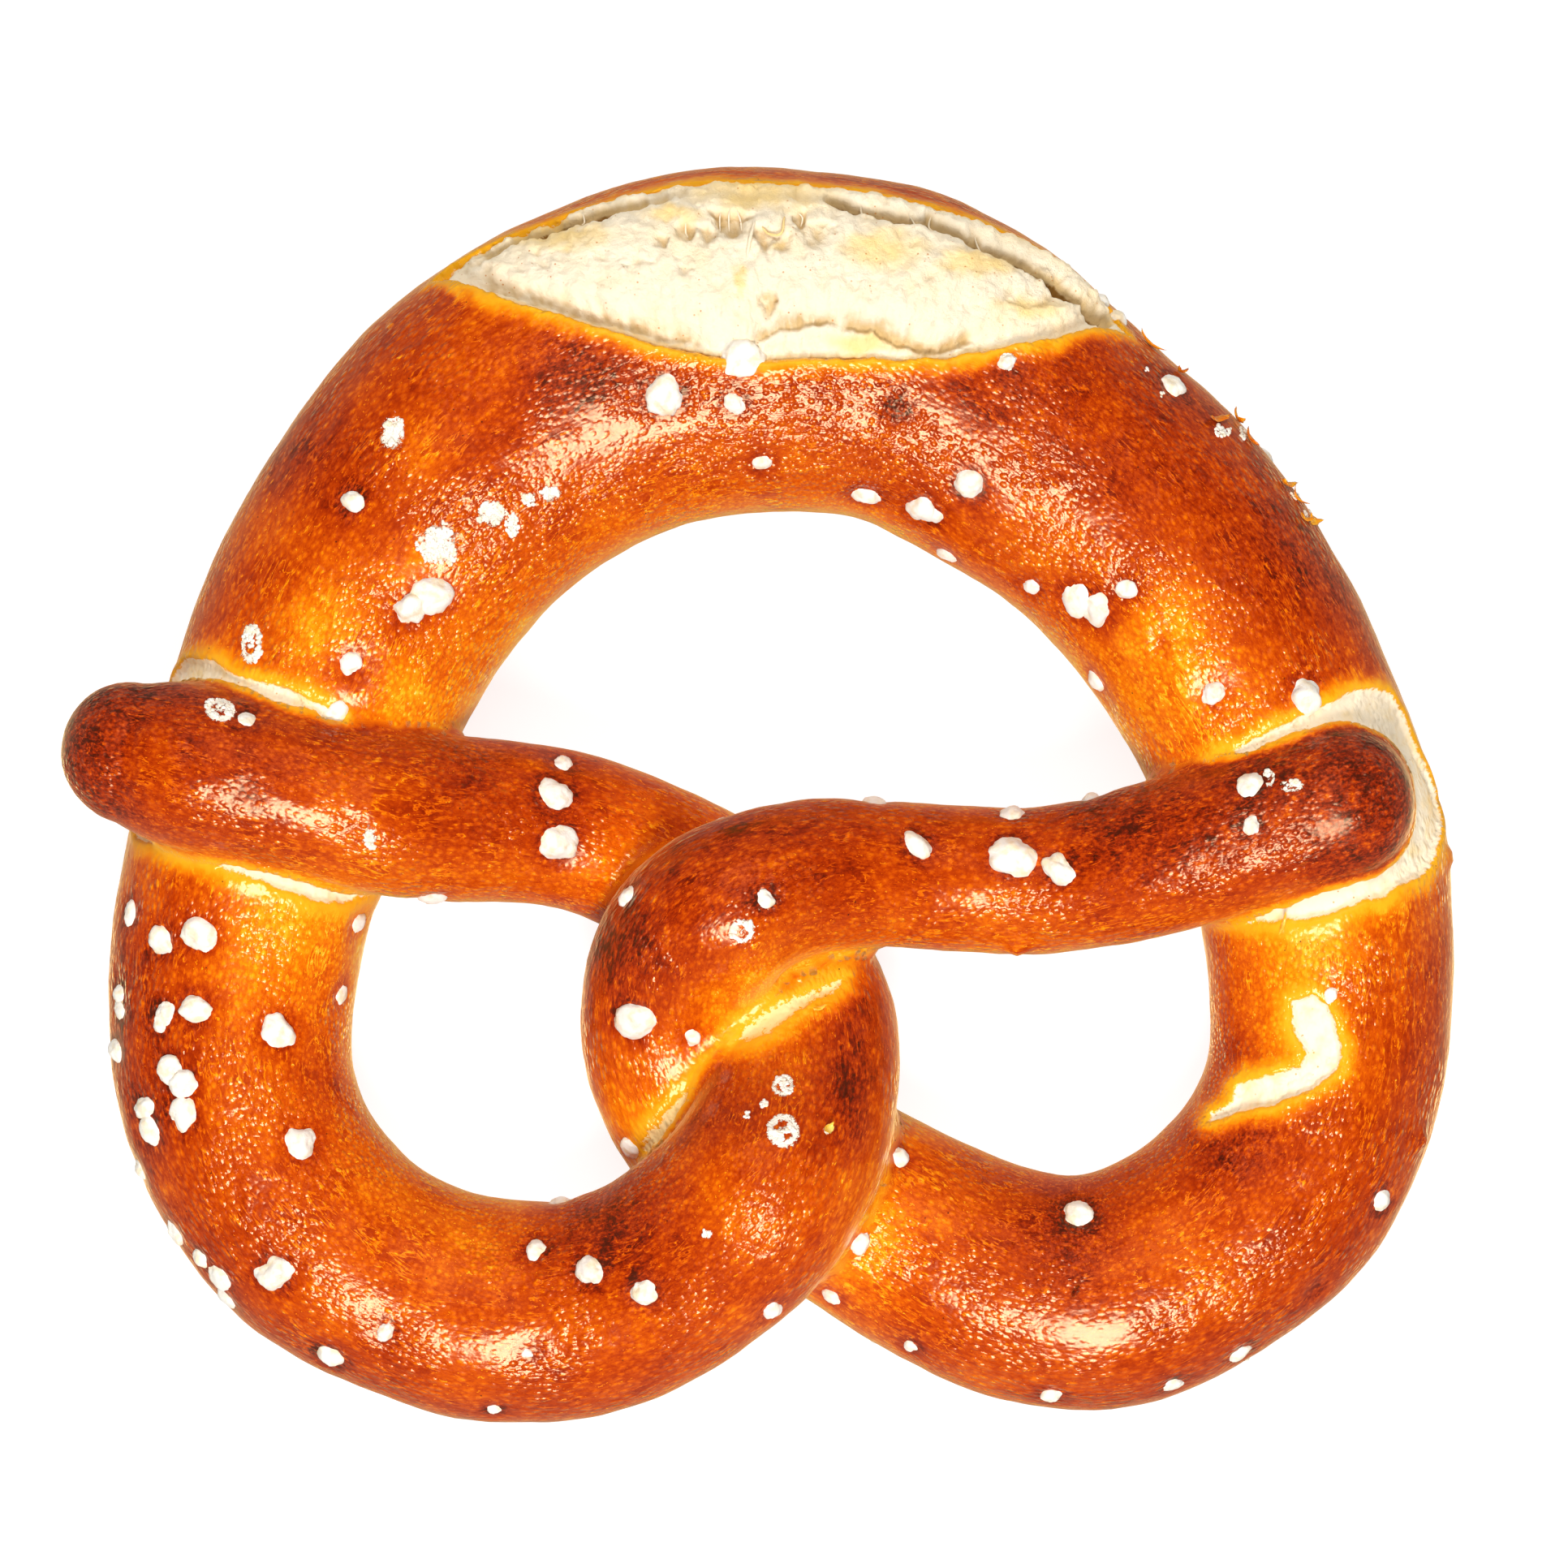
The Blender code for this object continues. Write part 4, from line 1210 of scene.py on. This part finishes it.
def crust_material():
    graph = Graph("baked_crust")
    torn = graph.attribute("torn")
    flow = graph.attribute("flow", vector=True)
    blotch = graph.noise(11.0, 3)
    mottle = graph.noise(2.6, 3, 0.6)
    streak = graph.noise(1.6, 3, 0.65, place=flow, stretch=(0.3, 1.2, 1.2), warp=0.7)
    grain = graph.noise(0.4, 2, 0.7, place=flow, stretch=(0.65, 1.0, 1.0))

    # Crinkled relief: small blisters with valleys between them
    blisters = graph.cells(0.7, place=graph.vector("MULTIPLY", flow, (0.75, 1.0, 1.0)))
    dome = graph.step(blisters.outputs["Distance"], 0.62, 0.10)
    # Blister tone: domes paler and the valleys between them darker, partly the blisters' own lighter baking and partly
    # painted light and shade that shows the relief.
    blister_tone_and_shade = graph.maths("SUBTRACT", dome, 0.5)

    # The bake attribute holds browning with painted shade, painted highlight and painted reflection mixed in.
    baked = graph.attribute("bake")
    burnt = graph.times(graph.step(baked, 0.58, 0.8), graph.add(graph.times(grain, 0.18), graph.times(mottle, 0.16)))
    bake = graph.add(
        baked,
        burnt,
        graph.times(blotch, 0.11),
        graph.times(mottle, 0.065),
        graph.times(streak, 0.055),
        graph.times(grain, 0.10),
        graph.times(blister_tone_and_shade, -0.13),
        0.01,
    )
    crack = graph.step(graph.maths("ABSOLUTE", graph.add(streak, graph.times(grain, 0.12))), 0.16, 0.03)
    cracked = graph.step(graph.add(mottle, graph.times(blotch, 0.7)), -0.1, 0.6)
    fleck = graph.step(graph.add(grain, graph.times(streak, -0.3)), 0.6, 0.85)
    bake = graph.maths("SUBTRACT", bake, graph.times(crack, cracked, 0.24))
    bake = graph.maths("SUBTRACT", bake, graph.times(fleck, 0.32))
    rim = graph.step(graph.add(torn, graph.times(mottle, 0.6)), -3.0, -0.1)
    bake = graph.add(graph.times(bake, graph.maths("SUBTRACT", 1.0, rim)), graph.times(rim, 0.22))
    colour = graph.ramp(bake, BAKE_COLOURS)
    pits = graph.cells(1.5)
    pit = graph.times(graph.step(pits.outputs["Distance"], 0.085, 0.05), graph.step(graph.noise(5.0, 2), 0.0, 0.4))
    colour = graph.mix(graph.times(pit, 0.85), colour, (0.02, 0.008, 0.004))
    shallow = graph.attribute("shallow")
    tatter = graph.times(graph.noise(0.6, 4, 0.7), graph.add(0.2, graph.times(shallow, 0.5)))
    open_crumb = graph.step(graph.add(torn, tatter, graph.times(shallow, -0.2)), 0.02, 0.2)
    # Painted shade: deep inside a tear the crumb goes beige.
    deep_tear_shade = graph.step(torn, 3.0, 8.0)
    torn_colour = crumb_colour(graph, deep_tear_shade, graph.step(mottle, -0.3, 1.2, 0.0, 0.8))
    torn_colour = graph.mix(graph.times(shallow, 0.65), torn_colour, (0.90, 0.60, 0.15))
    colour = graph.mix(open_crumb, colour, torn_colour)

    crumbly = graph.noise(0.45, 3, 0.8)
    salted = graph.step(graph.add(graph.attribute("film"), graph.times(crumbly, 0.45)), 0.25, 0.4)
    colour = graph.mix(salted, colour, (0.92, 0.85, 0.72))

    relief = graph.add(
        graph.times(salted, graph.add(1.6, graph.times(crumbly, 1.4))),
        graph.times(dome, 1.4),
        graph.times(streak, 0.5),
        graph.times(mottle, 1.2),
    )
    calm = graph.step(graph.noise(9.0, 0), -0.6, 0.6, 0.4, 1.6)
    steady = graph.attribute("steady")
    normal = graph.bump(graph.times(relief, calm, steady), 0.05, 1.0)
    upward = graph.node("ShaderNodeSeparateXYZ", graph.facing).outputs["Z"]
    dull = graph.step(upward, 0.6, 0.1, 0.0, 0.12)
    rough = graph.add(0.19, dull, graph.times(mottle, 0.04), graph.times(graph.maths("MAXIMUM", open_crumb, salted), 0.6))
    rough = graph.add(rough, graph.times(graph.step(baked, 0.62, 0.82), 0.16))
    return graph.finish(
        Base_Color=colour,
        Roughness=rough,
        Normal=normal,
        Specular_IOR_Level=0.75,
        Specular_Tint=(1.0, 0.70, 0.42),
        Sheen_Weight=0.8,
        Sheen_Roughness=0.3,
        Sheen_Tint=(1.0, 0.68, 0.30),
    )


def crumb_material():
    graph = Graph("torn_crumb")
    colour = crumb_colour(graph, graph.attribute("cave_shade"), graph.attribute("toasted"))
    edge = graph.step(graph.add(graph.attribute("lip"), graph.times(graph.noise(0.8, 3), 0.3)), 0.9, 0.0)
    colour = graph.mix(graph.times(edge, 0.6), colour, (0.92, 0.56, 0.12))
    pores = graph.add(graph.noise(0.35, 4, 0.7), graph.times(graph.noise(1.2, 3), 0.8))
    return graph.finish(
        Base_Color=colour,
        Roughness=0.85,
        Normal=graph.bump(pores, 0.08, 0.7),
        Specular_IOR_Level=0.2,
    )


def salt_material():
    graph = Graph("coarse_salt")
    tint = graph.step(graph.noise(1.4, 3), -0.3, 0.9)
    colour = graph.mix(tint, (0.84, 0.79, 0.70), (0.80, 0.65, 0.43))
    grit = graph.add(graph.noise(0.3, 3, 0.6), graph.times(graph.noise(0.9, 2), 1.2))
    return graph.finish(
        Base_Color=colour,
        Roughness=0.55,
        Normal=graph.bump(grit, 0.03, 0.5),
        Specular_IOR_Level=0.4,
    )


def floor_material():
    graph = Graph("pale_floor")
    colour = graph.mix(graph.step(graph.noise(60.0, 2), -1.0, 1.0), (0.24, 0.24, 0.24), (0.26, 0.26, 0.26))
    return graph.finish(
        Base_Color=colour,
        Roughness=0.9,
        Specular_IOR_Level=0.1,
        Emission_Color=(1.0, 1.0, 1.0),
        Emission_Strength=0.85,
    )


# ---------------------------------------------------------------- the pretzel put together

crust = make_crust()
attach(crust, "root")
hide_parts("pretzel")
baked = crust_material()
crust.data.materials.append(baked)
crumb = make_crumb()
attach(crumb, "root")
torn_crumb = crumb_material()
crumb.data.materials.append(torn_crumb)


def surface(made):
    faces = [tuple(face.vertices) for face in made.data.polygons]
    return BVHTree.FromPolygons((mesh_points(made.data) / MM).tolist(), faces)


crust_tree = surface(crust)
salt = salt_material()
for made in (make_grains(crust_tree), make_powder(crust_tree)):
    made.data.materials.append(salt)
make_flakes(crust_tree).data.materials.append(baked)
make_threads(surface(crumb)).data.materials.append(torn_crumb)

# ---------------------------------------------------------------- floor, light and camera


def add_camera():
    camera = bpy.data.cameras.new("camera")
    camera.sensor_width = 36
    camera.lens = camera.sensor_width * (CAMERA_HEIGHT - OUTLINE_LEVEL) / FRAME_WIDTH
    camera.clip_start = 0.05
    placed = bpy.data.objects.new("camera", camera)
    placed.location = camera_point() * MM
    bpy.context.scene.collection.objects.link(placed)
    bpy.context.scene.camera = placed


def add_area(name, place, target, size, power, shines):
    light = bpy.data.lights.new(name, "AREA")
    light.shape = "DISK"
    light.size = size
    light.energy = power
    placed = bpy.data.objects.new(name, light)
    placed.location = place
    placed.rotation_euler = (Vector(target) - Vector(place)).to_track_quat("-Z", "Y").to_euler()
    placed.visible_glossy = shines
    bpy.context.scene.collection.objects.link(placed)


def add_floor():
    bm = bmesh.new()
    bmesh.ops.create_grid(bm, x_segments=24, y_segments=24, size=1.5)
    mesh = bpy.data.meshes.new("floor")
    bm.to_mesh(mesh)
    bm.free()
    mesh.materials.append(floor_material())
    floor = bpy.data.objects.new("floor", mesh)
    bpy.context.scene.collection.objects.link(floor)
    floor.visible_glossy = False


def add_world(overhead, horizon):
    """White surroundings, bright near the horizon and dim overhead."""
    world = bpy.data.worlds.new("studio")
    world.use_nodes = True
    tree = world.node_tree
    background = tree.nodes["Background"]
    place = tree.nodes.new("ShaderNodeTexCoord")
    split = tree.nodes.new("ShaderNodeSeparateXYZ")
    fade = tree.nodes.new("ShaderNodeMapRange")
    fade.interpolation_type = "SMOOTHSTEP"
    tree.links.new(place.outputs["Generated"], split.inputs[0])
    tree.links.new(split.outputs["Z"], fade.inputs["Value"])
    for name, value in (("From Min", 0.05), ("From Max", 0.7), ("To Min", horizon), ("To Max", overhead)):
        fade.inputs[name].default_value = value
    background.inputs["Color"].default_value = (1, 1, 1, 1)
    tree.links.new(fade.outputs[0], background.inputs["Strength"])
    bpy.context.scene.world = world


add_camera()
add_floor()
add_world(0.03, 0.2)
add_area("window", (0.0, -0.60, 0.92), (0.0, 0.0, 0.0), 0.5, 13.5, True)
add_area("softbox", (0.0, 0.65, 1.15), (0.0, 0.0, 0.0), 1.2, 15.0, False)
bpy.context.scene.view_settings.view_transform = "Standard"
